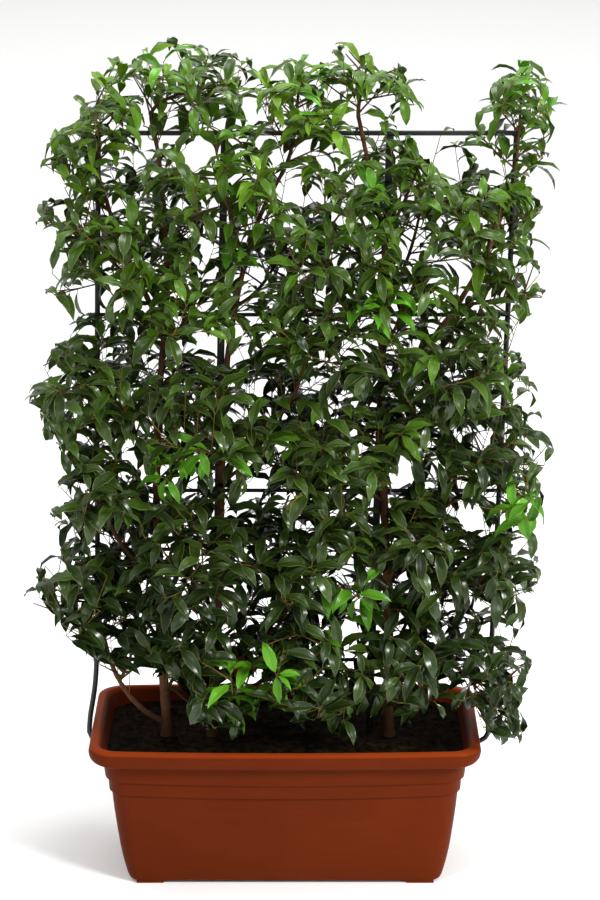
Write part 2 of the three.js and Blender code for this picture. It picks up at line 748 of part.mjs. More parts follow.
addPiece("trough", trough(), FINISH.plastic);
addPiece("soil", soil(), FINISH.soil);
addPiece("post_left", post(-1), FINISH.steel);
addPiece("post_right", post(1), FINISH.steel);
addPiece("bar_left", bar(-1), FINISH.steel);
addPiece("bar_right", bar(1), FINISH.steel);
addPiece("top_rail", topRail(), FINISH.steel);
rodIndexes.forEach((index) => addPiece(`cross_rod_${index}`, crossRod(index), FINISH.steel));
addPiece("tie_left", tie(limbs.get("trunk_left")), FINISH.tie);
addPiece("tie_right", tie(limbs.get("trunk_right")), FINISH.tie);
limbs.forEach((limb, name) => addPiece(name, limb.solid, FINISH.bark));
growFoliage(limbs, fixed).forEach(({ name, solid }) => addPiece(name, solid, FINISH.foliage));

export default plant;
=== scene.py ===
"""A potted Portuguese laurel, trained flat on a steel trellis in a long trough.

Metres, +Z up, +X to the right, +Y to the back. The origin is the middle of the trough's underside.
"""

import logging
import math
import random
from collections.abc import Callable, Sequence
from dataclasses import dataclass, field
from enum import Enum
from functools import partial

import bpy
import numpy as np
from mathutils import Matrix, Vector, kdtree, noise


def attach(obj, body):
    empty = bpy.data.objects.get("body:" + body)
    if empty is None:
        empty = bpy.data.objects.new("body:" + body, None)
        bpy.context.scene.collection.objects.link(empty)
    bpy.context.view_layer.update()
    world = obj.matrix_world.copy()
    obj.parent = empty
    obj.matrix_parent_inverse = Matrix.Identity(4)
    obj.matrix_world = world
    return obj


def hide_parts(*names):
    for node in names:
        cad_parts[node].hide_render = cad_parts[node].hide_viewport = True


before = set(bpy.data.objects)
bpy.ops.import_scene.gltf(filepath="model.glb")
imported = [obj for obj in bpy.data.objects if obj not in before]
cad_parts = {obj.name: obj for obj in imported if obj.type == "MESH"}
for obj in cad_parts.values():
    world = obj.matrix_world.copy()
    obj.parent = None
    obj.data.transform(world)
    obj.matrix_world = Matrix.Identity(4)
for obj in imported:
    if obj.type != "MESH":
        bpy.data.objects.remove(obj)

log = logging.getLogger("laurel")

UP = Vector((0.0, 0.0, 1.0))
EYE = (0.0313, -5.3731, 2.5237)
WHOLE_TURN = 2 * math.pi
ROUGH_TURN = 6.28
GOLDEN_ANGLE = math.radians(137.5)
BODY = "root"


def mm(*values: float) -> Vector:
    """A point given in millimetres."""
    return Vector(values) / 1000


def mix(low: float, high: float, share: float) -> float:
    """The number at a share of the way from low to high."""
    return low + (high - low) * share


def srgb(red: int, green: int, blue: int) -> tuple[float, float, float, float]:
    """A colour as a picture shows it, from 0 to 255, as the linear colour that a shader takes.

    Args:
        red: Its red.
        green: Its green.
        blue: Its blue.

    Returns:
        The linear colour.
    """
    shown = [channel / 255 for channel in (red, green, blue)]
    linear = [c / 12.92 if c <= 0.04045 else ((c + 0.055) / 1.055) ** 2.4 for c in shown]
    return (*linear, 1.0)


# Shader graphs


class Wire:
    """One output of a shader node, with maths on it that adds Math nodes."""

    def __init__(self, graph: "Graph", socket: bpy.types.NodeSocket) -> None:
        """Keeps the graph and the socket."""
        self.graph = graph
        self.socket = socket

    def _math(self, operation: str, *values: "Wire | float") -> "Wire":
        """A Math node on these values."""
        return self.graph.node("ShaderNodeMath", {"operation": operation}, dict(enumerate(values)))

    def __add__(self, other: "Wire | float") -> "Wire":
        """The sum."""
        return self._math("ADD", self, other)

    __radd__ = __add__

    def __sub__(self, other: "Wire | float") -> "Wire":
        """The difference."""
        return self._math("SUBTRACT", self, other)

    def __rsub__(self, other: float) -> "Wire":
        """The difference, from a number."""
        return self._math("SUBTRACT", other, self)

    def __mul__(self, other: "Wire | float") -> "Wire":
        """The product."""
        return self._math("MULTIPLY", self, other)

    __rmul__ = __mul__

    def __pow__(self, other: float) -> "Wire":
        """The power."""
        return self._math("POWER", self, other)

    def __abs__(self) -> "Wire":
        """The size without its sign."""
        return self._math("ABSOLUTE", self)

    def fraction(self) -> "Wire":
        """What is left above the next lower whole number."""
        return self._math("FRACT", self)

    def between(self, low: float, high: float) -> "Wire":
        """A smooth step from 0 at low to 1 at high."""
        settings = {"interpolation_type": "SMOOTHSTEP"}
        return self.graph.node("ShaderNodeMapRange", settings, {0: self, 1: low, 2: high})

    def other(self, name: str) -> "Wire":
        """Another output of the same node."""
        return Wire(self.graph, self.socket.node.outputs[name])


@dataclass(frozen=True)
class Grain:
    """Soft noise over a surface: its scale, its detail and how the place is stretched for it."""

    scale: float
    detail: float = 2.0
    stretch: tuple = (1.0, 1.0, 1.0)


class Graph:
    """The shader nodes of one material."""

    def __init__(self, name: str) -> None:
        """Starts a material with an empty graph.

        Args:
            name: The material's name.
        """
        self.material = bpy.data.materials.new(name)
        self.material.use_nodes = True
        self.tree = self.material.node_tree
        self.tree.nodes.clear()

    def node(self, kind: str, settings: dict, sockets: dict) -> Wire | None:
        """Adds a node.

        Args:
            kind: The node's type.
            settings: Its properties, set before its sockets.
            sockets: A value or a wire for each input, by name or place.

        Returns:
            The node's first output in use, or None where it has none.
        """
        made = self.tree.nodes.new(kind)
        for key, value in settings.items():
            setattr(made, key, value)
        for key, value in sockets.items():
            if isinstance(value, Wire):
                self.tree.links.new(value.socket, made.inputs[key])
            else:
                made.inputs[key].default_value = value
        enabled = [socket for socket in made.outputs if socket.enabled]
        return Wire(self, enabled[0]) if enabled else None

    def place(self, stretch: Sequence[float] = (1.0, 1.0, 1.0)) -> Wire:
        """The place on the object, stretched by a scale for each axis."""
        place = self.node("ShaderNodeTexCoord", {}, {}).other("Object")
        return self.node("ShaderNodeMapping", {}, {"Vector": place, "Scale": stretch})

    def height(self) -> Wire:
        """The height over the floor."""
        return self.node("ShaderNodeSeparateXYZ", {}, {0: self.place()}).other("Z")

    def noise(self, grain: Grain) -> Wire:
        """Soft noise from 0 to 1."""
        sockets = {"Vector": self.place(grain.stretch), "Scale": grain.scale, "Detail": grain.detail}
        return self.node("ShaderNodeTexNoise", {}, sockets)

    def blend(self, share: Wire, low: "Wire | tuple", high: "Wire | tuple") -> Wire:
        """A colour between two colours.

        Args:
            share: How far it is on the way to high.
            low: The first colour.
            high: The other one.

        Returns:
            The colour.
        """
        factor, colour_a, colour_b = 0, 6, 7
        sockets = {factor: share, colour_a: low, colour_b: high}
        return self.node("ShaderNodeMix", {"data_type": "RGBA"}, sockets)

    def relief(self, height: Wire, strength: float, distance: float) -> Wire:
        """A normal that shows a height."""
        return self.node("ShaderNodeBump", {}, {"Height": height, "Strength": strength, "Distance": distance})

    def finish(self, **sockets: "Wire | float | tuple") -> bpy.types.Material:
        """Ends the graph in one surface shader.

        Args:
            sockets: The shader's inputs, named with underscores for spaces.

        Returns:
            The material.
        """
        named = {key.replace("_", " "): value for key, value in sockets.items()}
        surface = self.node("ShaderNodeBsdfPrincipled", {}, named)
        self.node("ShaderNodeOutputMaterial", {}, {"Surface": surface})
        return self.material


# Finishes


@dataclass(frozen=True)
class MouldedPlastic:
    """Satin terracotta-coloured plastic, a little cloudy, with dust and rub marks, and the top of the rim
    painted paler as a highlight.
    """

    colour: tuple = srgb(88, 31, 5)
    deep: tuple = srgb(80, 27, 4)
    pale: tuple = srgb(112, 46, 16)
    # The painted highlight on the top of the rim: its paler orange, and the heights over which it fades in
    rim_highlight: tuple = srgb(158, 62, 20)
    rim: tuple = (0.308, 0.316)
    clouds: Grain = Grain(4.0, 3.0)
    streaks: Grain = Grain(9.0, 4.0, (1.0, 1.0, 9.0))
    scuffs: Grain = Grain(30.0, 5.0, (3.0, 3.0, 14.0))
    pimples: Grain = Grain(900.0, 1.0)
    dusted: float = 0.1
    scuffed: float = 0.12
    # The strength of the painted highlight on the rim's top
    wear_and_highlight: float = 0.6
    roughness: float = 0.4
    reflection: float = 0.04

    def material(self) -> bpy.types.Material:
        """Builds the material.

        Returns:
            The material.
        """
        graph = Graph("moulded_plastic")
        cloud, streak = graph.noise(self.clouds), graph.noise(self.streaks)
        scuff = graph.noise(self.scuffs).between(0.62, 0.78)
        base = graph.blend(cloud.between(0.3, 0.75), self.deep, self.colour)
        base = graph.blend(streak.between(0.45, 0.8) * self.dusted, base, self.pale)
        base = graph.blend(scuff * self.scuffed, base, self.pale)
        # Painted highlight: the top of the rim is blended towards a paler orange, as if lit from above
        base = graph.blend(graph.height().between(*self.rim) * self.wear_and_highlight, base, self.rim_highlight)
        return graph.finish(
            Base_Color=base,
            Roughness=self.roughness + cloud * 0.08 + scuff * 0.1,
            Normal=graph.relief(graph.noise(self.pimples) * 0.6 + streak * 0.4, 0.1, 0.0005),
            Specular_IOR_Level=self.reflection,
        )


@dataclass(frozen=True)
class MoistSoil:
    """Dark compost: black with brown fibre and a few pale specks."""

    dark: tuple = srgb(6, 5, 2)
    brown: tuple = srgb(50, 37, 22)
    speck: tuple = srgb(84, 62, 42)
    lumps: Grain = Grain(60.0, 6.0)
    fibres: Grain = Grain(220.0, 4.0, (1.0, 4.0, 4.0))
    specks: Grain = Grain(600.0)
    roughness: float = 0.82
    reflection: float = 0.03

    def material(self, name: str) -> bpy.types.Material:
        """Builds the material under a name.

        Args:
            name: The material's name.

        Returns:
            The material.
        """
        graph = Graph(name)
        lump, fibre = graph.noise(self.lumps), graph.noise(self.fibres)
        speck = graph.noise(self.specks).between(0.66, 0.74)
        browned = lump.between(0.35, 0.72) * 0.7 + fibre.between(0.5, 0.7) * 0.3
        base = graph.blend(speck * 0.5, graph.blend(browned, self.dark, self.brown), self.speck)
        return graph.finish(
            Base_Color=base,
            Roughness=self.roughness + lump * 0.15,
            Specular_IOR_Level=self.reflection,
            Normal=graph.relief(fibre * 0.5 + lump, 0.9, 0.006),
        )


@dataclass(frozen=True)
class BlackCoat:
    """A black coat, faintly textured and worn in places: powder on steel, or plastic."""

    name: str = "black_steel"
    colour: tuple = srgb(22, 23, 25)
    wear_and_highlight: tuple = srgb(46, 47, 50)
    roughness: float = 0.38
    metallic: float = 0.35
    texture: Grain = Grain(1400.0)
    wear: Grain = Grain(26.0, 5.0)

    def material(self) -> bpy.types.Material:
        """Builds the material.

        Returns:
            The material.
        """
        graph = Graph(self.name)
        wear = graph.noise(self.wear).between(0.58, 0.74)
        return graph.finish(
            Base_Color=graph.blend(wear * 0.5, self.colour, self.wear_and_highlight),
            Roughness=self.roughness + wear * 0.16,
            Metallic=self.metallic,
            Normal=graph.relief(graph.noise(self.texture), 0.2, 0.0004),
        )


@dataclass(frozen=True)
class Bark:
    """Thin bark, with pale breathing pores across it, streaks along it and a damp, dark foot."""

    name: str
    colour: tuple
    dark: tuple
    pore: tuple = srgb(150, 112, 84)
    damp: tuple = srgb(42, 29, 18)
    damp_heights: tuple = (0.29, 0.38)
    streaks: Grain = Grain(260.0, 4.0, (1.0, 1.0, 0.16))
    patches: Grain = Grain(22.0, 4.0)
    pores: Grain = Grain(420.0, 2.0, (0.5, 0.5, 2.2))
    roughness: float = 0.62
    reflection: float = 0.03

    def material(self) -> bpy.types.Material:
        """Builds the material.

        Returns:
            The material.
        """
        graph = Graph(self.name)
        streak, patch = graph.noise(self.streaks), graph.noise(self.patches)
        pore = graph.noise(self.pores).between(0.62, 0.7)
        damp = 1 - graph.height().between(*self.damp_heights)
        base = graph.blend(streak * 0.6 + patch.between(0.3, 0.7) * 0.5, self.dark, self.colour)
        base = graph.blend(pore * 0.55, base, self.pore)
        return graph.finish(
            Base_Color=graph.blend(damp * 0.85, base, self.damp),
            Roughness=self.roughness + streak * 0.25,
            Specular_IOR_Level=self.reflection,
            Normal=graph.relief(streak + pore * 0.6, 0.7, 0.0012),
        )


@dataclass(frozen=True)
class LeafTint:
    """The colours of one kind of leaf: its upper side, its midrib, whose colour also paints a highlight along
    the blade's edges, and its underside.
    """

    name: str
    upper: tuple
    rib: tuple
    under: tuple
    roughness: float = 0.34
    wax: float = 0.42
    darkest: float = 0.4
    lightest: float = 1.9
    veins: float = 9.0
    vein_slant: float = 2.4
    vein_share: float = 0.16
    # A painted highlight along the blade's edges, in the midrib's colour: where it starts and ends across the
    # blade, and its strength
    painted_edge_highlight: tuple = (0.84, 1.0)
    painted_edge_highlight_share: float = 0.6
    clouds: Grain = Grain(60.0)
    reflection: float = 0.12
    coat_roughness: float = 0.22
    coat_index: float = 1.45

    def materials(self) -> list[bpy.types.Material]:
        """The blade, the midrib and the underside, each with its roughness and its wax.

        Returns:
            Their materials.
        """
        return [
            self._blade("upper", self.upper, self.roughness, self.wax),
            self._blade("rib", self.rib, 0.45, 0.05),
            self._blade("under", self.under, 0.55, 0.0),
        ]

    def _blade(self, side: str, colour: tuple, roughness: float, wax: float) -> bpy.types.Material:
        """One side's material.

        Args:
            side: The side's name.
            colour: Its base colour.
            roughness: Its roughness.
            wax: The weight of its waxy coat.

        Returns:
            The material.
        """
        graph = Graph(f"leaf_{self.name}_{side}")
        leaf = graph.node("ShaderNodeUVMap", {"uv_map": "leaf"}, {})
        place = graph.node("ShaderNodeSeparateXYZ", {}, {0: leaf})
        across, along = abs(place.other("X") * 2 - 1), place.other("Y")
        vein = (1 - abs((along * self.veins - across * self.vein_slant).fraction() - 0.5) * 2) ** 5
        own = graph.node("ShaderNodeAttribute", {"attribute_name": "shade"}, {}).other("Fac")
        cloud = graph.noise(self.clouds)
        dark = (*(self.darkest * channel for channel in colour[:3]), 1.0)
        light = (*(min(1.0, self.lightest * channel) for channel in colour[:3]), 1.0)
        base = graph.blend(own * 0.75 + cloud * 0.25, dark, light)
        base = graph.blend(vein * (1 - across) * self.vein_share, base, self.rib)
        # Painted highlight: the edges of the blade are blended towards the midrib's paler colour, as if light
        # caught them
        base = graph.blend(across.between(*self.painted_edge_highlight) * self.painted_edge_highlight_share, base, self.rib)
        return graph.finish(
            Base_Color=base,
            Roughness=roughness - 0.06 + cloud * 0.12,
            Normal=graph.relief(vein * -1.0, 0.25, 0.0006),
            Specular_IOR_Level=self.reflection,
            Coat_Weight=own * 1.8 * wax,
            Coat_Roughness=self.coat_roughness,
            Coat_IOR=self.coat_index,
        )


# Lines through space


class Path:
    """A line through space, measured along its length."""

    # The share of the length before and after a place that gives its way onward
    step: float = 0.004

    def __init__(self, points: np.ndarray) -> None:
        """Measures the line.

        Args:
            points: Closely spaced points, one a row.
        """
        self.points = points
        steps = np.linalg.norm(np.diff(points, axis=0), axis=1)
        self.reached = np.concatenate([[0.0], np.cumsum(steps)])
        self.length = float(self.reached[-1])

    def point(self, share: float) -> Vector:
        """The point at a share of the length."""
        reached = share * self.length
        return Vector([np.interp(reached, self.reached, self.points[:, axis]) for axis in range(3)])

    def tangent(self, share: float) -> Vector:
        """The way onward at a share of the length."""
        ahead, behind = self.point(min(1.0, share + self.step)), self.point(max(0.0, share - self.step))
        return (ahead - behind).normalized()

    def until(self, share: float) -> "Path":
        """The line up to a share of its length."""
        kept = self.points[self.reached < share * self.length]
        return Path(np.vstack([kept, np.array(self.point(share))]))

    def share_at(self, height: float) -> float:
        """The share of the length at which an upward line reaches a height."""
        return float(np.interp(height, self.points[:, 2], self.reached)) / self.length


def smooth_path(knots: Sequence[Vector], steps: int = 60) -> Path:
    """A centripetal Catmull-Rom line through points.

    Args:
        knots: The points.
        steps: How many steps each stretch takes.

    Returns:
        The line.
    """
    held = [2 * knots[0] - knots[1], *knots, 2 * knots[-1] - knots[-2]]
    points = []
    for before, start, end, after in zip(held, held[1:], held[2:], held[3:]):
        gaps = [math.sqrt((b - a).length) for a, b in ((before, start), (start, end), (end, after))]
        leave = (start - before) / gaps[0] - (end - before) / (gaps[0] + gaps[1]) + (end - start) / gaps[1]
        arrive = (end - start) / gaps[1] - (after - start) / (gaps[1] + gaps[2]) + (after - end) / gaps[2]
        leave, arrive = leave * gaps[1], arrive * gaps[1]
        for t in (step / steps for step in range(steps)):
            cubic = 2 * start - 2 * end + leave + arrive
            square = 3 * end - 3 * start - 2 * leave - arrive
            points.append(start + leave * t + square * t**2 + cubic * t**3)
    return Path(np.array([*points, knots[-1]]))


def bowed_path(start: Vector, bend: Vector, end: Vector, steps: int = 24) -> Path:
    """A line that leaves start towards bend and arrives at end from it.

    Args:
        start: The first point.
        bend: The point that draws the line.
        end: The last point.
        steps: How many steps the line takes.

    Returns:
        The line.
    """
    shares = [step / steps for step in range(steps + 1)]
    return Path(np.array([(1 - t) ** 2 * start + 2 * t * (1 - t) * bend + t * t * end for t in shares]))


# Modelling


def deselect() -> None:
    """Leaves nothing selected, so that an operator acts on the new piece alone."""
    bpy.ops.object.select_all(action="DESELECT")


def edit(piece: bpy.types.Object, mode: str = "EDIT") -> None:
    """Makes a piece the active one, in edit mode or another."""
    bpy.context.view_layer.objects.active = piece
    bpy.ops.object.mode_set(mode=mode)


def tidy_normals(piece: bpy.types.Object, weld: float = 1e-5) -> None:
    """Merges doubled points and turns all faces outward.

    Args:
        piece: The piece.
        weld: Up to how far apart points are merged.
    """
    edit(piece)
    bpy.ops.mesh.select_all(action="SELECT")
    bpy.ops.mesh.remove_doubles(threshold=weld)
    bpy.ops.mesh.normals_make_consistent(inside=False)
    edit(piece, "OBJECT")


def settle(piece: bpy.types.Object, smooth_below: float = 40.0) -> bpy.types.Object:
    """Puts a piece's place into its mesh and shades it.

    Args:
        piece: The piece.
        smooth_below: The angle in degrees under which an edge is shaded smooth.

    Returns:
        The piece.
    """
    deselect()
    piece.select_set(True)
    bpy.context.view_layer.objects.active = piece
    bpy.ops.object.transform_apply(location=True, rotation=True, scale=True)
    bpy.ops.object.shade_smooth_by_angle(angle=math.radians(smooth_below))
    return piece


def apply_modifier(piece: bpy.types.Object, kind: str, **settings: object) -> None:
    """Adds a modifier with its settings and applies it.

    Args:
        piece: The piece.
        kind: The modifier's type.
        settings: Its properties.
    """
    bpy.context.view_layer.objects.active = piece
    modifier = piece.modifiers.new(kind.lower(), kind)
    for key, value in settings.items():
        setattr(modifier, key, value)
    bpy.ops.object.modifier_apply(modifier=modifier.name)


def dress(
    piece: bpy.types.Object,
    materials: Sequence[bpy.types.Material],
    nodes: Sequence[str] = (),
) -> bpy.types.Object:
    """Gives a piece its finish and its place in the frame, and reports it.

    Args:
        piece: The piece.
        materials: Its materials, in the order of its faces' numbers.
        nodes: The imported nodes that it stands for.

    Returns:
        The piece.
    """
    piece.data.materials.clear()
    for material in materials:
        piece.data.materials.append(material)
    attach(piece, BODY)
    if nodes:
        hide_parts(*nodes)
    log.info("%s: %d faces", piece.name, len(piece.data.polygons))
    return piece


def loft(name: str, rings: Sequence[Sequence[Vector]]) -> bpy.types.Object:
    """A body extruded ring by ring from a circle, closed by a flat face at either end.

    Args:
        name: The piece's name.
        rings: Rings of equally many points.

    Returns:
        The piece.
    """
    deselect()
    bpy.ops.mesh.primitive_circle_add(vertices=len(rings[0]), radius=1.0, fill_type="NOTHING")
    piece = bpy.context.object
    piece.name = piece.data.name = name
    for vertex, point in zip(piece.data.vertices, rings[0]):
        vertex.co = point
    edit(piece)
    bpy.ops.mesh.select_mode(type="VERT")
    bpy.ops.mesh.select_all(action="SELECT")
    for ring in rings[1:]:
        bpy.ops.mesh.extrude_region_move()
        edit(piece, "OBJECT")
        for vertex, point in zip(piece.data.vertices[-len(ring):], ring):
            vertex.co = point
        edit(piece)
    bpy.ops.mesh.edge_face_add()
    bpy.ops.mesh.select_all(action="DESELECT")
    edit(piece, "OBJECT")
    for vertex in piece.data.vertices[: len(rings[0])]:
        vertex.select = True
    edit(piece)
    bpy.ops.mesh.edge_face_add()
    edit(piece, "OBJECT")
    tidy_normals(piece)
    return piece


def swept(
    name: str, path: Path, radius_at: Callable[[float], float], spacing: float, sides: int
) -> bpy.types.Object:
    """A round body along a line: a bevelled curve made a mesh.

    Args:
        name: The piece's name.
        path: The line.
        radius_at: The radius at a share of the length.
        spacing: The way from ring to ring.
        sides: How many sides the body has.

    Returns:
        The piece.
    """
    deselect()
    bpy.ops.curve.primitive_nurbs_path_add()
    piece = bpy.context.object
    piece.name = name
    line = piece.data
    line.splines.clear()
    count = max(3, round(path.length / spacing) + 1)
    spline = line.splines.new("POLY")
    spline.points.add(count - 1)
    for k, point in enumerate(spline.points):
        share = k / (count - 1)
        point.co = (*path.point(share), 1.0)
        point.radius = radius_at(share)
    line.dimensions = "3D"
    line.twist_mode = "MINIMUM"
    line.bevel_depth = 1.0
    line.bevel_resolution = sides // 2 - 2
    line.use_fill_caps = True
    bpy.ops.object.convert(target="MESH")
    piece = bpy.context.object
    piece.data.name = name
    tidy_normals(piece)
    return piece


class Joined:
    """One mesh joined from many small shapes."""

    def __init__(self) -> None:
        """Starts with nothing."""
        self.points: list[np.ndarray] = []
        self.faces: list[tuple[int, ...]] = []
        self.count = 0

    def add(self, points: np.ndarray, faces: Sequence[Sequence[int]]) -> None:
        """Adds one shape: its points and its faces.

        Args:
            points: Its points, one a row.
            faces: The numbers of each face's points.
        """
        self.faces.extend(tuple(corner + self.count for corner in face) for face in faces)
        self.points.append(points)
        self.count += len(points)

    def build(self, name: str, smooth_below: float = 50.0) -> bpy.types.Object:
        """Makes the piece.

        Args:
            name: The piece's name.
            smooth_below: The angle in degrees under which an edge is shaded smooth.

        Returns:
            The piece.
        """
        mesh = bpy.data.meshes.new(name)
        mesh.from_pydata(np.concatenate(self.points), [], self.faces)
        mesh.shade_smooth()
        mesh.set_sharp_from_angle(angle=math.radians(smooth_below))
        piece = bpy.data.objects.new(name, mesh)
        bpy.context.scene.collection.objects.link(piece)
        return piece


def frames_along(tangents: Sequence[Vector]) -> list[tuple[Vector, Vector]]:
    """Two vectors across a line at each of its tangents, turning as little as can be.

    Args:
        tangents: The line's way onward at each place.

    Returns:
        The two vectors for each place.
    """
    side = tangents[0].orthogonal().normalized()
    found = []
    for tangent in tangents:
        side = (side - tangent * side.dot(tangent)).normalized()
        found.append((side, tangent.cross(side)))
    return found


def tube(path: Path, radii: tuple[float, float], sides: int, rings: int) -> tuple[np.ndarray, list]:
    """A tapering tube with closed ends.

    Args:
        path: Its middle line.
        radii: Its radius at the start and at the end.
        sides: How many sides it has.
        rings: How many rings of points it has.

    Returns:
        Its points and its faces.
    """
    shares = [ring / (rings - 1) for ring in range(rings)]
    frames = frames_along([path.tangent(share) for share in shares])
    points = []
    for share, (side, other) in zip(shares, frames):
        middle, radius = path.point(share), mix(*radii, share)
        for j in range(sides):
            angle = WHOLE_TURN * j / sides
            points.append(middle + radius * (side * math.cos(angle) + other * math.sin(angle)))
    faces = [tuple(range(sides))[::-1], tuple(range((rings - 1) * sides, rings * sides))]
    for ring in range(rings - 1):
        low = ring * sides
        for j in range(sides):
            after = (j + 1) % sides
            faces.append((low + j, low + after, low + sides + after, low + sides + j))
    return np.array(points), faces


# The trough and its soil


@dataclass
class Trough:
    """A long trough of moulded plastic: bowed long sides, a rolled rim, two bands and four feet."""

    half_width: float = 0.405
    half_depth: float = 0.194
    corner: float = 0.050
    corner_shrink: float = 0.3
    least_corner: float = 0.004
    corner_points: int = 12
    side_spans: int = 36
    # Each level in millimetres: its height, how far its ends and its long sides lie in from the rim's edge,
    # the bow of its long sides and the rounding of its edge
    outside: tuple = (
        (8, 79, 56, 0, 0), (14, 76, 54.5, 1, 4), (28, 72, 53, 3, 0), (52, 66, 51, 6, 0),
        (82, 60.5, 49, 10, 0), (124, 54.5, 47, 14, 0), (168, 49, 44, 18, 0), (207, 45.5, 42, 21, 0),
        (209, 40.5, 38, 22, 1.2),
        (238, 38.5, 37, 22, 1.2), (240, 33, 31.5, 21, 1.2), (280.5, 28.5, 28, 19, 1.5), (282, 15, 6, 13, 1.5),
        (286, 8, 1, 12, 3), (293, 2.5, 0.3, 12, 3), (305, 0.2, 0.2, 12, 4), (313, 2.5, 2.5, 12, 3),
        (316, 9, 9, 12, 4),
    )
    inside: tuple = (
        (316, 17, 17, 12, 5), (308, 25, 25, 12.5, 6), (280, 38, 37, 18, 8), (206, 55, 51, 21, 0),
        (82, 69.5, 58, 10, 0), (46, 76.5, 61, 5, 0), (15, 84, 64, 1, 4),
    )
    foot_outer: float = 0.311
    foot_inner: float = 0.2555
    foot_slope: float = 0.013
    foot_near: float = 0.084
    foot_far: float = 0.136
    foot_top: float = 0.011
    foot_edge: float = 0.0012

    def ring(self, height: float, end: float, side: float, bow: float) -> list[Vector]:
        """One level: a rounded rectangle whose long sides bow out, anticlockwise from above.

        Args:
            height: Its height over the floor.
            end: How far its ends lie in from the rim's edge.
            side: How far its long sides lie in from the rim's edge.
            bow: How far the middle of a long side stands out.

        Returns:
            Its points.
        """
        half_width, half_depth = self.half_width - end, self.half_depth - side
        corner = max(self.least_corner, self.corner - self.corner_shrink * end)
        straight = half_width - corner
        points = []

        def add(x: float, y: float) -> None:
            """Adds a point, pushed out by the bow."""
            bulge = bow * (1 - (x / half_width) ** 2)
            points.append(Vector((x, y + math.copysign(bulge, y), height)))

        for index, (right, back) in enumerate(((1, -1), (1, 1), (-1, 1), (-1, -1))):
            for i in range(self.corner_points):
                turn = math.pi / 2 * (index - 1 + i / (self.corner_points - 1))
                x = right * straight + corner * math.cos(turn)
                add(x, back * (half_depth - corner) + corner * math.sin(turn))
            if right == back:
                for i in range(1, self.side_spans):
                    add(right * straight * (1 - 2 * i / self.side_spans), back * half_depth)
        return points

    @staticmethod
    def rounded(levels: Sequence[Sequence[float]], steps: int = 3) -> list[tuple[float, ...]]:
        """A profile with its corners rounded.

        Args:
            levels: Each level's measures and its rounding, in millimetres.
            steps: How many steps round a corner.

        Returns:
            Each level's measures in metres.
        """
        found = []
        for k, (*measures, rounding) in enumerate(levels):
            here = Vector(measures)
            if not rounding or k in (0, len(levels) - 1):
                found.append(here)
                continue
            ways = [Vector(levels[near][:-1]) - here for near in (k - 1, k + 1)]
            start, end = (here + way * (min(rounding, way.length / 2) / way.length) for way in ways)
            for t in (step / steps for step in range(steps + 1)):
                found.append((1 - t) ** 2 * start + 2 * t * (1 - t) * here + t * t * end)
        return [tuple(level / 1000) for level in found]

    def foot(self, right: int, back: int) -> bpy.types.Object:
        """One foot: a flat pad whose inner end slopes up into the underside.

        Args:
            right: 1 at the right end of the trough, -1 at the left.
            back: 1 at its back, -1 at its front.

        Returns:
            The foot.
        """
        deselect()
        bpy.ops.mesh.primitive_cube_add(size=1.0)
        pad = bpy.context.object
        for vertex in pad.data.vertices:
            outer, far, high = (coordinate > 0 for coordinate in vertex.co)
            slope = self.foot_slope if high else 0.0
            x = self.foot_outer if outer else self.foot_inner - slope
            y = self.foot_far if far else self.foot_near
            vertex.co = (right * x, back * y, self.foot_top if high else 0.0)
        apply_modifier(pad, "BEVEL", width=self.foot_edge, segments=2)
        tidy_normals(pad)
        return pad

    def build(self) -> None:
        """Makes the moulding with its feet."""
        levels = [*self.rounded(self.outside), *self.rounded(self.inside)]
        piece = loft("trough_moulding", [self.ring(*level) for level in levels])
        for right in (-1, 1):
            for back in (-1, 1):
                pad = self.foot(right, back)
                apply_modifier(piece, "BOOLEAN", operation="UNION", solver="EXACT", object=pad)
                bpy.data.objects.remove(pad)
        settle(piece, 32.0)
        dress(piece, [MouldedPlastic().material()], ["trough"])


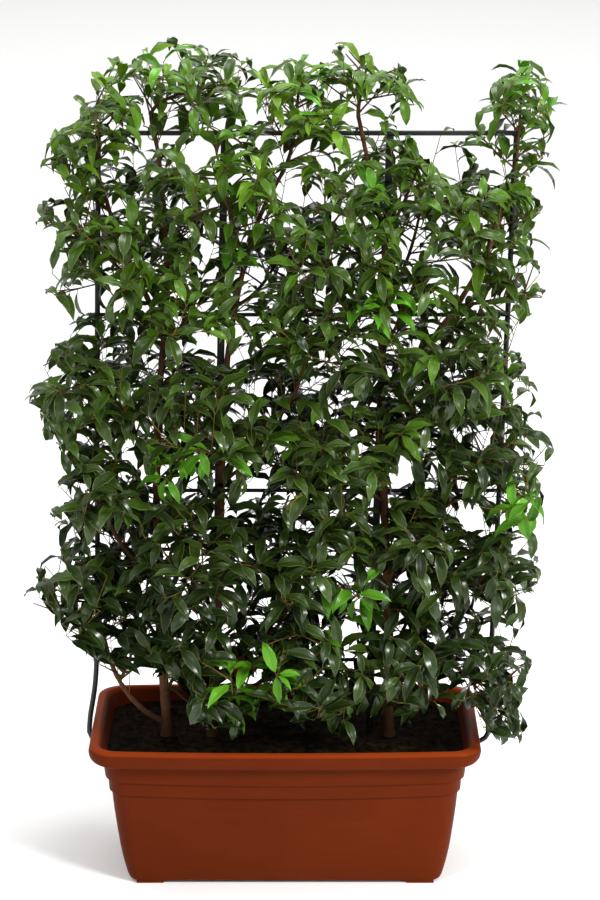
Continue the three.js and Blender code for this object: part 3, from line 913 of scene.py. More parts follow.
@dataclass
class SoilBed:
    """Moist soil that fills the trough, lumpy on top, with crumbs and fibres lying on it."""

    trough: Trough
    top: float = 0.290
    wall_gap: float = 0.001
    side_heights: tuple = (0.0155, 0.046, 0.082, 0.206, 0.272)
    sunk: float = 0.004
    lump: float = 0.009
    broad_scale: float = 7.0
    fine_scale: float = 38.0
    shares: tuple = (0.985, 0.95, 0.9, 0.84, 0.77, 0.69, 0.6, 0.5, 0.4, 0.3, 0.2, 0.1)
    strewn: tuple = (0.97, 0.93)
    crumbs: int = 1500
    crumb_sizes: tuple = (0.0011, 0.0034)
    crumb_stretch: tuple = ((0.6, 1.9), (0.6, 1.2), (0.5, 0.9))
    fibres: int = 420
    fibre_lengths: tuple = (0.008, 0.03)
    fibre_radii: tuple = (0.0005, 0.0003)
    fibre_bend: float = 0.005
    seed: int = 11

    def outline(self, height: float) -> list[Vector]:
        """The bed's outline at a height, just inside the wall.

        Args:
            height: The height over the floor.

        Returns:
            Its points.
        """
        levels = sorted(self.trough.rounded(self.trough.inside))
        heights, *measures = ([level[k] for level in levels] for k in range(4))
        end, side, bow = (float(np.interp(height, heights, measure)) for measure in measures)
        return self.trough.ring(height, end + self.wall_gap, side + self.wall_gap, bow)

    def surface(self, x: float, y: float) -> float:
        """The height of the soil at a place.

        Args:
            x: The place to the right.
            y: The place to the back.

        Returns:
            The height over the floor.
        """
        broad = noise.noise(Vector((x * self.broad_scale, y * self.broad_scale, 3.0)))
        fine = noise.fractal(Vector((x * self.fine_scale, y * self.fine_scale, 9.0)), 0.6, 2.1, 4)
        return self.top - self.sunk + self.lump * (0.55 * broad + 0.45 * fine)

    def build(self) -> None:
        """Makes the bed and what lies on it."""
        rings = [self.outline(height) for height in self.side_heights]
        edge = self.outline(self.top)
        for share in (1.0, *self.shares):
            ring = [Vector((point.x * share, point.y * share, 0.0)) for point in edge]
            for point in ring:
                point.z = self.surface(point.x, point.y)
            rings.append(ring)
        soil = MoistSoil()
        dress(settle(loft("soil_bed", rings), 60.0), [soil.material("moist_soil")], ["soil"])
        self.litter(edge, soil.material("soil_crumb"))

    def litter(self, edge: Sequence[Vector], material: bpy.types.Material) -> None:
        """Crumbs and fibres on the bed.

        Args:
            edge: The bed's outline.
            material: Their material.
        """
        draw = random.Random(self.seed)
        crumb = np.array([(1, 0, 0), (-1, 0, 0), (0, 1, 0), (0, -1, 0), (0, 0, 1), (0, 0, -1)], float)
        faces = [(0, 2, 4), (2, 1, 4), (1, 3, 4), (3, 0, 4), (2, 0, 5), (1, 2, 5), (3, 1, 5), (0, 3, 5)]
        half_width, half_depth = (max(p[axis] for p in edge) * self.strewn[axis] for axis in (0, 1))
        least, more = self.crumb_sizes
        made = Joined()
        for _ in range(self.crumbs):
            x, y = draw.uniform(-1, 1) * half_width, draw.uniform(-1, 1) * half_depth
            size = least + more * draw.random() ** 3
            angle, axis = draw.uniform(0, ROUGH_TURN), Vector((draw.random(), draw.random(), 1))
            turn = np.array(Matrix.Rotation(angle, 3, axis))
            stretch = np.array([draw.uniform(*limits) for limits in self.crumb_stretch])
            middle = np.array([x, y, self.surface(x, y) + size * 0.3])
            made.add((crumb * stretch * size) @ turn.T + middle, faces)
        for _ in range(self.fibres):
            x, y = draw.uniform(-1, 1) * half_width, draw.uniform(-1, 1) * half_depth
            angle, length = draw.uniform(0, ROUGH_TURN), draw.uniform(*self.fibre_lengths)
            start = Vector((x, y, self.surface(x, y) + 0.0008))
            end = start + length * Vector((math.cos(angle), math.sin(angle), 0))
            end.z = self.surface(end.x, end.y) + 0.0012
            aside = Vector((draw.uniform(-1, 1), draw.uniform(-1, 1), 0.5))
            bend = (start + end) / 2 + aside * self.fibre_bend
            if abs(end.x) < half_width and abs(end.y) < half_depth:
                made.add(*tube(bowed_path(start, bend, end, 4), self.fibre_radii, 3, 4))
        dress(made.build("soil_litter", 20.0), [material])


# The trellis and its ties


@dataclass
class Trellis:
    """Two round posts hooked under the rim, two square bars, a top rail and three rods."""

    centre: float = 0.014
    rim_height: float = 0.316
    lean: float = 0.0257
    post_span: float = 0.4134
    bar_span: float = 0.1635
    post_radius: float = 0.0055
    bar_side: float = 0.015
    rail_height: float = 1.560
    rail_side: float = 0.009
    rod_radius: float = 0.004
    rod_spacing: float = 0.3724
    rod_count: int = 3
    overrun: float = 0.006
    gap: float = 0.0003
    soil_top: float = 0.290
    hook_height: float = 0.265
    hook_wall: float = 0.376
    hook_out: float = 0.4115
    hook_turn: float = 0.014
    hook_top: float = 0.310
    hook_straight: float = 0.410
    broken_edge: float = 0.09
    bead: tuple = (0.0042, 0.0028, 0.0022)
    bead_sizes: tuple = (0.8, 1.15)
    # How far apart the rings of a round member are, and how many sides it has
    post_rings: tuple = (0.012, 20)
    rod_rings: tuple = (0.2, 16)
    seed: int = 5
    steel: bpy.types.Material | None = None

    def x_at(self, offset: float, height: float) -> float:
        """Where a member that leans with the trellis stands at a height."""
        return self.centre + offset + self.lean * (height - self.rim_height)

    @property
    def under_rail(self) -> float:
        """The height of the rail's underside, less its gap."""
        return self.rail_height - self.rail_side / 2 - self.gap

    @property
    def rod_depth(self) -> float:
        """How far behind the bars' middle a rod runs."""
        return self.bar_side / 2 + self.gap + self.rod_radius

    def post_path(self, side: int) -> Path:
        """The line of a post: up from its hook under the rim.

        Args:
            side: 1 for the right post, -1 for the left.

        Returns:
            The line.
        """
        span = side * self.post_span
        out = -self.hook_out if side < 0 else self.x_at(span, self.hook_top)
        hook = [
            (side * (self.hook_wall + self.gap), self.hook_height),
            (out - side * self.hook_turn, self.hook_height),
            (out, self.hook_height + self.hook_turn),
            (out, self.hook_top),
        ]
        heights = (self.hook_straight, (self.hook_straight + self.under_rail) / 2, self.under_rail)
        knots = [*hook, *((self.x_at(span, height), height) for height in heights)]
        return smooth_path([Vector((x, 0.0, z)) for x, z in knots])

    def bar_path(self, side: int) -> Path:
        """The line of a square bar."""
        ends = (self.soil_top, self.under_rail)
        return Path(np.array([(self.x_at(side * self.bar_span, end), 0.0, end) for end in ends]))

    def across(self, height: float, depth: float) -> Path:
        """The line of a member across both posts."""
        ends = [self.x_at(side * self.post_span, height) + side * self.overrun for side in (-1, 1)]
        return Path(np.array([(x, depth, height) for x in ends]))

    def rod_heights(self) -> list[float]:
        """The heights of the rods."""
        return [self.rail_height - (index + 1) * self.rod_spacing for index in range(self.rod_count)]

    def lines(self) -> list[tuple[Path, float]]:
        """Every member's line with its half thickness.

        Returns:
            The lines and half thicknesses.
        """
        members = [(self.across(self.rail_height, 0.0), self.rail_side / 2)]
        for side in (-1, 1):
            members.append((self.post_path(side), self.post_radius))
            members.append((self.bar_path(side), self.bar_side / 2))
        members += [(self.across(height, self.rod_depth), self.rod_radius) for height in self.rod_heights()]
        return members

    def square(self, name: str, path: Path, side: float, node: str) -> None:
        """A square member with softly broken edges.

        Args:
            name: The piece's name.
            path: Its middle line, from end to end.
            side: Its thickness.
            node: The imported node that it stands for.
        """
        deselect()
        start, end = path.point(0.0), path.point(1.0)
        level = abs(end.z - start.z) < self.rail_side
        bpy.ops.mesh.primitive_cube_add(size=1.0)
        piece = bpy.context.object
        piece.name = piece.data.name = name
        for vertex in piece.data.vertices:
            x, y, z = vertex.co
            along, cross = (x, Vector((0.0, y, z))) if level else (z, Vector((x, y, 0.0)))
            vertex.co = (end if along > 0 else start) + cross * side
        apply_modifier(piece, "BEVEL", width=side * self.broken_edge, segments=3)
        dress(settle(piece), [self.steel], [node])

    def welds(self) -> None:
        """A small bead where each rod crosses a post or a bar, and where each upright meets the rail."""
        draw = random.Random(self.seed)
        places = []
        for side in (-1, 1):
            for span, half in ((self.post_span, self.post_radius), (self.bar_span, self.bar_side / 2)):
                for height in self.rod_heights():
                    x = self.x_at(side * span, height)
                    depth = half if span == self.bar_span else self.rod_depth / 2
                    places += [Vector((x, depth, height + up * self.rod_radius)) for up in (-1, 1)]
                x = self.x_at(side * span, self.under_rail)
                places += [Vector((x + out * half * 0.8, 0.0, self.under_rail)) for out in (-1, 1)]
        deselect()
        bpy.ops.mesh.primitive_ico_sphere_add(subdivisions=2, radius=1.0)
        bead = bpy.context.object
        shape = np.array([vertex.co for vertex in bead.data.vertices])
        faces = [tuple(face.vertices) for face in bead.data.polygons]
        bpy.data.objects.remove(bead)
        made = Joined()
        for place in places:
            size = np.array(self.bead) * draw.uniform(*self.bead_sizes)
            made.add(shape * size + np.array(place), faces)
        dress(made.build("trellis_welds"), [self.steel])

    def build(self) -> None:
        """Makes every member."""
        self.steel = BlackCoat().material()
        for side, word in ((-1, "left"), (1, "right")):
            line = self.post_path(side)
            post = swept(f"steel_post_{word}", line, lambda _: self.post_radius, *self.post_rings)
            dress(settle(post), [self.steel], [f"post_{word}"])
            self.square(f"steel_bar_{word}", self.bar_path(side), self.bar_side, f"bar_{word}")
        self.square("steel_rail", self.across(self.rail_height, 0.0), self.rail_side, "top_rail")
        for index, height in enumerate(self.rod_heights(), 1):
            line = self.across(height, self.rod_depth)
            rod = swept(f"steel_rod_{index}", line, lambda _: self.rod_radius, *self.rod_rings)
            dress(settle(rod), [self.steel], [f"cross_rod_{index}"])
        self.welds()


@dataclass
class TreeTies:
    """Plastic straps that hold two trunks to the top rail."""

    radius: float = 0.0136
    strap: float = 0.0011
    width: float = 0.0042
    depth: float = -0.0055
    head: float = 0.0062
    head_edge: float = 0.0009
    end_length: float = 0.014
    end_thickness: float = 1.6
    end_turn: float = 0.4
    end_edge: float = 0.0004
    finish: BlackCoat = BlackCoat("tie_plastic", srgb(34, 35, 37), srgb(70, 71, 74), 0.5, 0.0)

    def build(self, trellis: Trellis, limbs: "Limbs") -> None:
        """Makes both ties: a strap round rail and trunk, with its locking head and a short end.

        Args:
            trellis: The trellis with the rail.
            limbs: The limbs with the trunks.
        """
        plastic = self.finish.material()
        for word in ("left", "right"):
            path = limbs.paths[f"trunk_{word}"]
            middle = path.point(path.share_at(trellis.rail_height))
            middle.y, middle.z = self.depth, trellis.rail_height
            deselect()
            bpy.ops.mesh.primitive_torus_add(
                major_radius=self.radius, minor_radius=self.strap, major_segments=40, minor_segments=8
            )
            strap = bpy.context.object
            strap.name = strap.data.name = f"tie_strap_{word}"
            for vertex in strap.data.vertices:
                vertex.co.z *= self.width / 2 / self.strap
            bpy.ops.mesh.primitive_cube_add(size=self.head, location=(-self.radius, 0.0, 0.0))
            head = bpy.context.object
            apply_modifier(head, "BEVEL", width=self.head_edge, segments=2)
            place = (-self.radius - self.end_length / 2, -0.002, 0.0)
            bpy.ops.mesh.primitive_cube_add(size=1.0, location=place)
            end = bpy.context.object
            end.scale = (self.end_length, self.strap * self.end_thickness, self.width)
            end.rotation_euler = (0.0, 0.0, self.end_turn)
            apply_modifier(end, "BEVEL", width=self.end_edge, segments=1)
            for part in (strap, head, end):
                part.select_set(True)
            bpy.context.view_layer.objects.active = strap
            bpy.ops.object.join()
            strap.matrix_world = Matrix.Translation(middle) @ Matrix.Rotation(math.pi / 4, 4, "Y") @ (
                Matrix.Rotation(math.pi / 2, 4, "X")
            )
            dress(settle(strap), [plastic], [f"tie_{word}"])


# Limbs


@dataclass(frozen=True)
class Limb:
    """A trunk through given points, or a bough that grows on a trunk. Millimetres."""

    name: str
    radii: tuple[float, float]
    through: tuple = ()
    on: str = ""
    at: float = 0.0
    bow: tuple = ()
    to: tuple = ()


@dataclass
class Limbs:
    """Three trunks, the stem at their side and the boughs, with a relief of bark."""

    flare_height: float = 0.042
    flare: float = 0.5
    collar: float = 0.35
    collar_length: float = 0.022
    knot_spacing: float = 0.052
    knot: float = 0.07
    knot_sharpness: float = 9.0
    ring_spacing: float = 0.005
    trunk_sides: int = 20
    bough_sides: int = 14
    # Each layer of the bark's relief: its name, the size of its noise and its height
    relief: tuple = (("bark_ridges", 0.016, 0.0022), ("bark_grain", 0.0045, 0.0009))
    red: Bark = Bark("bark_reddish", srgb(120, 78, 54), srgb(56, 38, 28))
    brown: Bark = Bark("bark_brown", srgb(112, 76, 54), srgb(50, 36, 28))
    limbs: tuple[Limb, ...] = (
        Limb("trunk_left", (10.5, 4), (
            (-247, -21, 288), (-261, -21, 600), (-259, -20, 948), (-236, -18, 1260), (-246, -14, 1500),
            (-262, -11, 1590),
        )),
        Limb("trunk_middle", (10, 4), (
            (-152, -24, 288), (-135, -21, 668), (-113, -20, 1120), (-57, -20, 1373), (4, -20, 1500),
        )),
        Limb("trunk_right", (11, 4), (
            (217, -22, 288), (214, -21, 558), (202, -21, 850), (196, -19, 1120), (199, -17, 1330),
            (158, -11, 1540), (146, -11, 1596),
        )),
        Limb("stem_low_left", (6, 4), (), "trunk_left", 312, (-20, -12, -20), (-374, -50, 520)),
        Limb("bough_left_middle", (5.5, 3.4), (), "trunk_left", 640, (-8, -8, -16), (-368, -66, 800)),
        Limb("bough_left_high", (6, 3.4), (), "trunk_left", 1165, (-14, -8, 6), (-368, -28, 1490)),
        Limb("bough_centre_low", (5.5, 3.4), (), "trunk_middle", 470, (30, -20, -10), (8, -72, 600)),
        Limb("bough_centre_high", (5.5, 3.4), (), "trunk_middle", 935, (26, -20, -12), (30, -74, 1072)),
        Limb("bough_right_trailing", (5, 3.2), (), "trunk_right", 385, (10, -14, 42), (372, -92, 452)),
        Limb("bough_right_low", (5.5, 3.4), (), "trunk_right", 520, (-12, -12, 38), (340, -52, 628)),
        Limb("bough_right_middle", (5.5, 3.4), (), "trunk_right", 625, (-20, 6, 10), (376, -34, 828)),
        Limb("bough_right_high", (7, 3.8), (), "trunk_right", 1040, (30, -6, -22), (450, -24, 1462)),
        Limb("bough_right_back", (5.5, 3.4), (), "trunk_right", 905, (18, 0, -14), (322, 78, 1045)),
    )
    paths: dict[str, Path] = field(default_factory=dict)

    def __post_init__(self) -> None:
        """Works out every limb's line."""
        for limb in self.limbs:
            self.paths[limb.name] = self.path_of(limb)

    def path_of(self, limb: Limb) -> Path:
        """The line of a limb.

        Args:
            limb: The limb.

        Returns:
            The line.
        """
        if limb.through:
            return smooth_path([mm(*point) for point in limb.through])
        host = self.paths[limb.on]
        start, end = host.point(host.share_at(limb.at / 1000)), mm(*limb.to)
        return bowed_path(start, (start + end) / 2 + 2 * mm(*limb.bow), end, 60)

    def radius_at(self, limb: Limb, share: float) -> float:
        """A limb's radius, with its root flare or its collar and its knots.

        Args:
            limb: The limb.
            share: A share of its length.

        Returns:
            The radius there.
        """
        along = share * self.paths[limb.name].length
        foot, tip = (radius / 1000 for radius in limb.radii)
        radius = mix(foot, tip, share)
        wider, length = (
            (self.flare, self.flare_height) if limb.through else (self.collar, self.collar_length)
        )
        radius += foot * wider * max(0.0, 1 - along / length) ** 2
        knot = math.exp(-(((along / self.knot_spacing) % 1 - 0.5) * self.knot_sharpness) ** 2)
        return radius * (1 + self.knot * knot)

    def build(self) -> None:
        """Makes every limb."""
        red, brown = self.red.material(), self.brown.material()
        layers = []
        for name, size, height in self.relief:
            texture = bpy.data.textures.new(name, "CLOUDS")
            texture.noise_scale = size
            layers.append((texture, height))
        for limb in self.limbs:
            sides = self.trunk_sides if limb.through else self.bough_sides
            radius_at = partial(self.radius_at, limb)
            piece = swept(f"bark_{limb.name}", self.paths[limb.name], radius_at, self.ring_spacing, sides)
            for texture, height in layers:
                apply_modifier(piece, "DISPLACE", texture=texture, strength=height, texture_coords="LOCAL")
            bark = red if "right" in limb.name else brown
            dress(settle(piece, 60.0), [bark], [limb.name])


# The foliage


@dataclass(frozen=True)
class Mass:
    """A mass of foliage: its middle and reach in millimetres, and the limb that carries it.

    A mass without a height grows on from the limb's tip. A mass behind the trellis has the side to which
    its stem first leaves.
    """

    name: str
    middle: tuple[float, float, float]
    reach: tuple[float, float, float]
    on: str
    at: float = 0.0
    side: int = 0


# Reaches in millimetres that several masses have
INNER_REACH = (165, 150, 165)
CENTRE_REACH = (165, 150, 155)
BACK_REACH = (185, 140, 210)
INFILL_REACH = (110, 140, 150)

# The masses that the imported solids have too
MASSES = (
    Mass("left_1", (-404, -70, 590), (146, 165, 160), "stem_low_left"),
    Mass("left_2", (-380, -105, 835), (125, 160, 155), "bough_left_middle"),
    Mass("left_3", (-400, -55, 1066), (150, 170, 140), "trunk_left", 960),
    Mass("left_4", (-378, -95, 1325), (138, 160, 165), "bough_left_high", 1262),
    Mass("left_5", (-385, -20, 1566), (130, 200, 165), "bough_left_high"),
    Mass("peak_left", (-190, -20, 1614), (160, 200, 142), "trunk_left"),
    Mass("inner_1", (-205, -125, 470), INNER_REACH, "trunk_left", 385),
    Mass("inner_2", (-180, -125, 720), INNER_REACH, "trunk_left", 700),
    Mass("inner_3", (-170, -125, 975), INNER_REACH, "trunk_middle", 880),
    Mass("inner_4", (-175, -125, 1225), INNER_REACH, "trunk_left", 1105),
    Mass("inner_5", (-120, -115, 1450), INNER_REACH, "trunk_middle", 1300),
    Mass("centre_1", (40, -120, 450), CENTRE_REACH, "trunk_middle", 372),
    Mass("centre_2", (62, -105, 680), CENTRE_REACH, "bough_centre_low"),
    Mass("centre_3", (88, -125, 905), CENTRE_REACH, "trunk_right", 800),
    Mass("centre_4", (70, -110, 1140), CENTRE_REACH, "bough_centre_high"),
    Mass("centre_5", (90, -115, 1375), CENTRE_REACH, "trunk_right", 1245),
    Mass("peak_middle", (22, -20, 1590), (125, 195, 140), "trunk_middle"),
    Mass("peak_centre", (155, -20, 1626), (125, 195, 140), "trunk_right"),
    Mass("right_1", (432, -100, 400), (118, 140, 165), "bough_right_trailing"),
    Mass("right_2", (410, -85, 640), (138, 165, 145), "bough_right_low"),
    Mass("right_3", (432, -60, 880), (122, 170, 150), "bough_right_middle"),
    Mass("right_4", (385, -95, 1120), (150, 160, 150), "bough_right_high", 1120),
    Mass("right_5", (412, -70, 1350), (138, 170, 150), "bough_right_high", 1290),
    Mass("peak_right", (462, -20, 1575), (94, 185, 142), "bough_right_high"),
    Mass("back_left_1", (-330, 120, 620), BACK_REACH, "trunk_left", 500, -1),
    Mass("back_left_2", (-310, 125, 960), BACK_REACH, "trunk_left", 860, -1),
    Mass("back_left_3", (-300, 120, 1300), BACK_REACH, "trunk_left", 1210, -1),
    Mass("back_centre_1", (-20, 125, 560), BACK_REACH, "trunk_middle", 500, 1),
    Mass("back_centre_2", (-20, 130, 900), BACK_REACH, "trunk_middle", 845, 1),
    Mass("back_centre_3", (-10, 120, 1260), BACK_REACH, "trunk_middle", 1215, 1),
    Mass("back_right_1", (290, 120, 600), BACK_REACH, "trunk_right", 478, 1),
    Mass("back_right_2", (300, 125, 980), BACK_REACH, "bough_right_back"),
    Mass("back_right_3", (270, 115, 1350), BACK_REACH, "trunk_right", 1230, 1),
)

# Leafy shoots from the limbs, where there is room between the masses
INFILLS = (
    Mass("infill_1", (258, -85, 470), INFILL_REACH, "trunk_right", 400),
    Mass("infill_2", (256, -90, 720), INFILL_REACH, "trunk_right", 640),
    Mass("infill_3", (252, -85, 970), INFILL_REACH, "trunk_right", 880),
    Mass("infill_4", (250, -85, 1210), INFILL_REACH, "trunk_right", 1120),
    Mass("infill_5", (246, -70, 1420), INFILL_REACH, "trunk_right", 1350),
    Mass("infill_6", (476, -60, 1240), (85, 120, 100), "bough_right_high", 1215),
    Mass("infill_7", (-430, -40, 1470), (90, 130, 90), "bough_left_high", 1410),
    Mass("infill_8", (-318, -90, 470), (90, 120, 100), "stem_low_left", 420),
)


class Tint(Enum):
    """The kinds of leaf, from the oldest in the shade to the youngest growth. SHADE to WARM are also lit and
    shaded copies dealt out by height: darker low down as painted shade, lighter high up as painted light from
    above.
    """

    SHADE = LeafTint("shade", srgb(23, 37, 9), srgb(88, 106, 50), srgb(46, 62, 24))
    DEEP = LeafTint("deep", srgb(35, 51, 12), srgb(110, 130, 66), srgb(48, 66, 22))
    MATURE = LeafTint("half_lit", srgb(42, 63, 13), srgb(118, 142, 66), srgb(52, 72, 22))
    BRIGHT = LeafTint("bright", srgb(50, 78, 10), srgb(104, 134, 40), srgb(62, 88, 22), 0.36, 0.2)
    WARM = LeafTint("warm", srgb(66, 96, 12), srgb(120, 150, 46), srgb(74, 102, 24), 0.36, 0.14)
    YOUNG = LeafTint("young", srgb(60, 108, 16), srgb(120, 156, 58), srgb(80, 126, 34), 0.32, 0.22)
    YELLOW = LeafTint("yellow", srgb(116, 124, 44), srgb(150, 154, 84), srgb(126, 130, 64), 0.5)
    RED = LeafTint("red", srgb(92, 38, 16), srgb(120, 66, 40), srgb(94, 46, 30), 0.45)


@dataclass
class Space:
    """The room of a mass: within its reach, and nearer to its middle than to any other's."""

    mass: Mass
    shared: float = 0.025
    ragged: float = 0.16
    ragged_scale: float = 16.0

    def __post_init__(self) -> None:
        """Works out the borders to the masses around."""
        self.middle = mm(*self.mass.middle)
        self.reach = mm(*self.mass.reach)
        self.borders = []
        for other in MASSES:
            between = mm(*other.middle) - self.middle
            if 0 < between.length / 2 < max(self.reach):
                self.borders.append((between.normalized(), between.length / 2 + self.shared))

    def holds(self, point: Vector) -> bool:
        """Whether a point is in the space, or a little past its border with another mass.

        Args:
            point: The point.

        Returns:
            Whether it is.
        """
        away = point - self.middle
        limit = 1 + self.ragged * noise.noise(point * self.ragged_scale)
        if sum((part / reach) ** 2 for part, reach in zip(away, self.reach)) > limit:
            return False
        return all(away.dot(direction) < limit for direction, limit in self.borders)

    def room_along(self, start: Vector, direction: Vector, step: float = 0.006) -> float:
        """How far a straight way stays in the space.

        Args:
            start: Where it starts.
            direction: Where it goes.
            step: How finely it is tried.

        Returns:
            Its length.
        """
        room = 0.0
        while self.holds(start + direction * (room + step)):
            room += step
        return room


@dataclass
class Leaf:
    """One leaf: where its stalk leaves the twig, its root, the ways it goes and faces, and its form."""

    stalk: Vector
    root: Vector
    onward: Vector
    normal: Vector
    length: float
    turn: float
    hook: float
    twist: float
    shade: float

    def at(self, share: float) -> Vector:
        """A point on its midrib, as if it bent evenly.

        Args:
            share: The share of its length.

        Returns:
            The point.
        """
        bent = self.turn * share
        return self.root + (self.onward * math.sin(bent) - self.normal * (1 - math.cos(bent))) * (
            self.length / self.turn
        )


@dataclass
class Blades:
    """The blade of a leaf: a pointed oval with a sunk midrib, thin, arched down to its tip."""

    width: float = 0.310
    steps: int = 24
    most_in_a_piece: int = 2600
    rows: tuple = (0.12, 0.30, 0.50, 0.70, 0.87)
    half_widths: tuple = (0.46, 0.92, 1.0, 0.68, 0.27)
    columns: tuple = (-1.0, -0.52, -0.06, 0.06, 0.52, 1.0)
    fold: float = 0.52
    camber: float = 0.30
    rib: float = 0.2
    sunk: float = 0.05
    thickness: float = 0.012
    wave: float = 0.2
    wave_count: float = 2.3
    wave_shift: float = 3.1
    smooth_below: float = 75.0

    def faces(self) -> tuple[list[tuple[int, ...]], list[int]]:
        """A leaf's faces.

        Returns:
            The faces by their points, and the number of each one's material.
        """
        blade, rib, underside = range(3)
        rows, columns = len(self.rows), len(self.columns)
        root, tip, under = rows * columns, rows * columns + 1, rows * columns + 2
        faces, kinds = [], []
        for j in range(columns - 1):
            kind = rib if j == columns // 2 - 1 else blade
            last = (rows - 1) * columns + j
            faces.append((root, j + 1, j))
            faces.append((last, last + 1, tip))
            kinds += [kind, kind]
            for i in range(rows - 1):
                low, high = i * columns + j, (i + 1) * columns + j
                faces.append((low, low + 1, high + 1, high))
                kinds.append(kind)
        left, right = ([i * columns + j for i in range(rows)] for j in (0, columns - 1))
        middle = [under + i for i in range(rows)]
        for near, far in ((left, middle), (middle, right)):
            faces += [(root, near[0], far[0]), (near[-1], tip, far[-1])]
            faces += [(near[i], near[i + 1], far[i + 1], far[i]) for i in range(rows - 1)]
        kinds += [underside] * (len(faces) - len(kinds))
        return faces, kinds

    def uv(self) -> np.ndarray:
        """Each point's place across and along the leaf."""
        grid = [(0.5 + 0.5 * x, t) for t in self.rows for x in self.columns]
        return np.array([*grid, (0.5, 0.0), (0.5, 1.0), *((0.5, t) for t in self.rows)])

    @staticmethod
    def bent(leaves: Sequence[Leaf], along: np.ndarray) -> np.ndarray:
        """How far each leaf has turned down at places along it.

        Args:
            leaves: The leaves.
            along: The shares of their length.

        Returns:
            The angles, by leaf and place.
        """
        turn = np.array([leaf.turn for leaf in leaves])[:, None]
        hook = np.array([leaf.hook for leaf in leaves])[:, None]
        return turn * ((1 - hook) * along + hook * along**2)

    def points(self, leaves: Sequence[Leaf]) -> np.ndarray:
        """The points of many leaves at once.

        Args:
            leaves: The leaves.

        Returns:
            The points, by leaf, point and axis.
        """
        across = np.array([*(list(self.columns) * len(self.rows)), 0.0, 0.0, *([0.0] * len(self.rows))])
        along = np.array([*np.repeat(self.rows, len(self.columns)), 0.0, 1.0, *self.rows])
        half = np.interp(along, (0.0, *self.rows, 1.0), (0.0, *self.half_widths, 0.0)) * self.width / 2
        below = np.array([0.0] * (len(self.rows) * len(self.columns) + 2) + [1.0] * len(self.rows))
        twist = np.array([leaf.twist for leaf in leaves])[:, None] * along
        angle = self.bent(leaves, along)
        x = across * half
        sunk = self.sunk * (abs(across) < self.rib)
        rise = (self.fold * abs(across) - self.camber * across**2 - sunk) * half
        shift = self.wave_shift * np.array([leaf.shade for leaf in leaves])[:, None]
        waves = np.sin(ROUGH_TURN * (along * self.wave_count + shift))
        rise = rise + self.wave * half * abs(across) * waves - below * (self.thickness + self.sunk * half)
        side = x * np.cos(twist) - rise * np.sin(twist)
        lift = x * np.sin(twist) + rise * np.cos(twist)
        fine = np.linspace(0.0, 1.0, self.steps + 1)
        steps = self.bent(leaves, (fine[1:] + fine[:-1]) / 2)
        reached = np.minimum(along * self.steps, self.steps - 1e-6)
        low, share = reached.astype(int), reached % 1
        run, drop = (np.cumsum(kind, axis=1) / self.steps for kind in (np.cos(steps), -np.sin(steps)))
        run, drop = (np.insert(kind, 0, 0.0, axis=1) for kind in (run, drop))
        forward = run[:, low] * (1 - share) + run[:, low + 1] * share + lift * np.sin(angle)
        height = drop[:, low] * (1 - share) + drop[:, low + 1] * share + lift * np.cos(angle)
        local = np.stack([side, forward, height], axis=2)
        onward = np.array([leaf.onward for leaf in leaves])
        normal = np.array([leaf.normal for leaf in leaves])
        axes = np.stack([np.cross(onward, normal), onward, normal], axis=1)
        sizes = np.array([leaf.length for leaf in leaves])[:, None, None]
        roots = np.array([leaf.root for leaf in leaves])[:, None, :]
        return roots + sizes * np.einsum("lpa,lax->lpx", local, axes)

    def build(self, name: str, leaves: Sequence[Leaf]) -> bpy.types.Object:
        """One piece joined from many leaves.

        Args:
            name: The piece's name.
            leaves: The leaves.

        Returns:
            The piece.
        """
        shape = self.points(leaves)
        count, size = shape.shape[:2]
        faces, kinds = self.faces()
        corners = np.array([corner for face in faces for corner in face])
        lengths = np.array([len(face) for face in faces])
        mesh = bpy.data.meshes.new(name)
        mesh.vertices.add(count * size)
        mesh.vertices.foreach_set("co", shape.astype(np.float32).ravel())
        all_corners = (corners[None, :] + size * np.arange(count)[:, None]).ravel()
        mesh.loops.add(len(all_corners))
        mesh.loops.foreach_set("vertex_index", all_corners.astype(np.int32))
        mesh.polygons.add(count * len(faces))
        starts = np.concatenate([[0], np.cumsum(np.tile(lengths, count))[:-1]])
        mesh.polygons.foreach_set("loop_start", starts.astype(np.int32))
        mesh.polygons.foreach_set("material_index", np.tile(kinds, count).astype(np.int32))
        mesh.update(calc_edges=True)
        uv = np.tile(self.uv()[corners], (count, 1))
        mesh.uv_layers.new(name="leaf").data.foreach_set("uv", uv.astype(np.float32).ravel())
        shades = np.repeat([leaf.shade for leaf in leaves], size).astype(np.float32)
        mesh.attributes.new("shade", "FLOAT", "POINT").data.foreach_set("value", shades)
        mesh.shade_smooth()
        mesh.set_sharp_from_angle(angle=math.radians(self.smooth_below))
        mesh.validate()
        piece = bpy.data.objects.new(name, mesh)
        bpy.context.scene.collection.objects.link(piece)
        return piece


@dataclass
class OpenRoom:
    """Places taken so far, to find how far a new one would be from them."""

    cell: float
    depth_share: float = 0.55
    cells: dict[tuple[int, int, int], list[Vector]] = field(default_factory=dict)

    def _seen(self, point: Vector) -> Vector:
        """A point with its depth counted less, because the foliage is flat."""
        return Vector((point.x, point.y * self.depth_share, point.z))

    def _cell(self, point: Vector) -> tuple[int, int, int]:
        """The cell that a point lies in."""
        return tuple(math.floor(coordinate / self.cell) for coordinate in point)

    def add(self, point: Vector) -> None:
        """Takes a place."""
        seen = self._seen(point)
        self.cells.setdefault(self._cell(seen), []).append(seen)

    def distance(self, point: Vector) -> float:
        """How far the nearest taken place is, up to a cell's width.

        Args:
            point: The place to measure from.

        Returns:
            The distance.
        """
        seen = self._seen(point)
        i, j, k = self._cell(seen)
        nearest = self.cell
        for a in (i - 1, i, i + 1):
            for b in (j - 1, j, j + 1):
                for c in (k - 1, k, k + 1):
                    for other in self.cells.get((a, b, c), ()):
                        nearest = min(nearest, (other - seen).length)
        return nearest


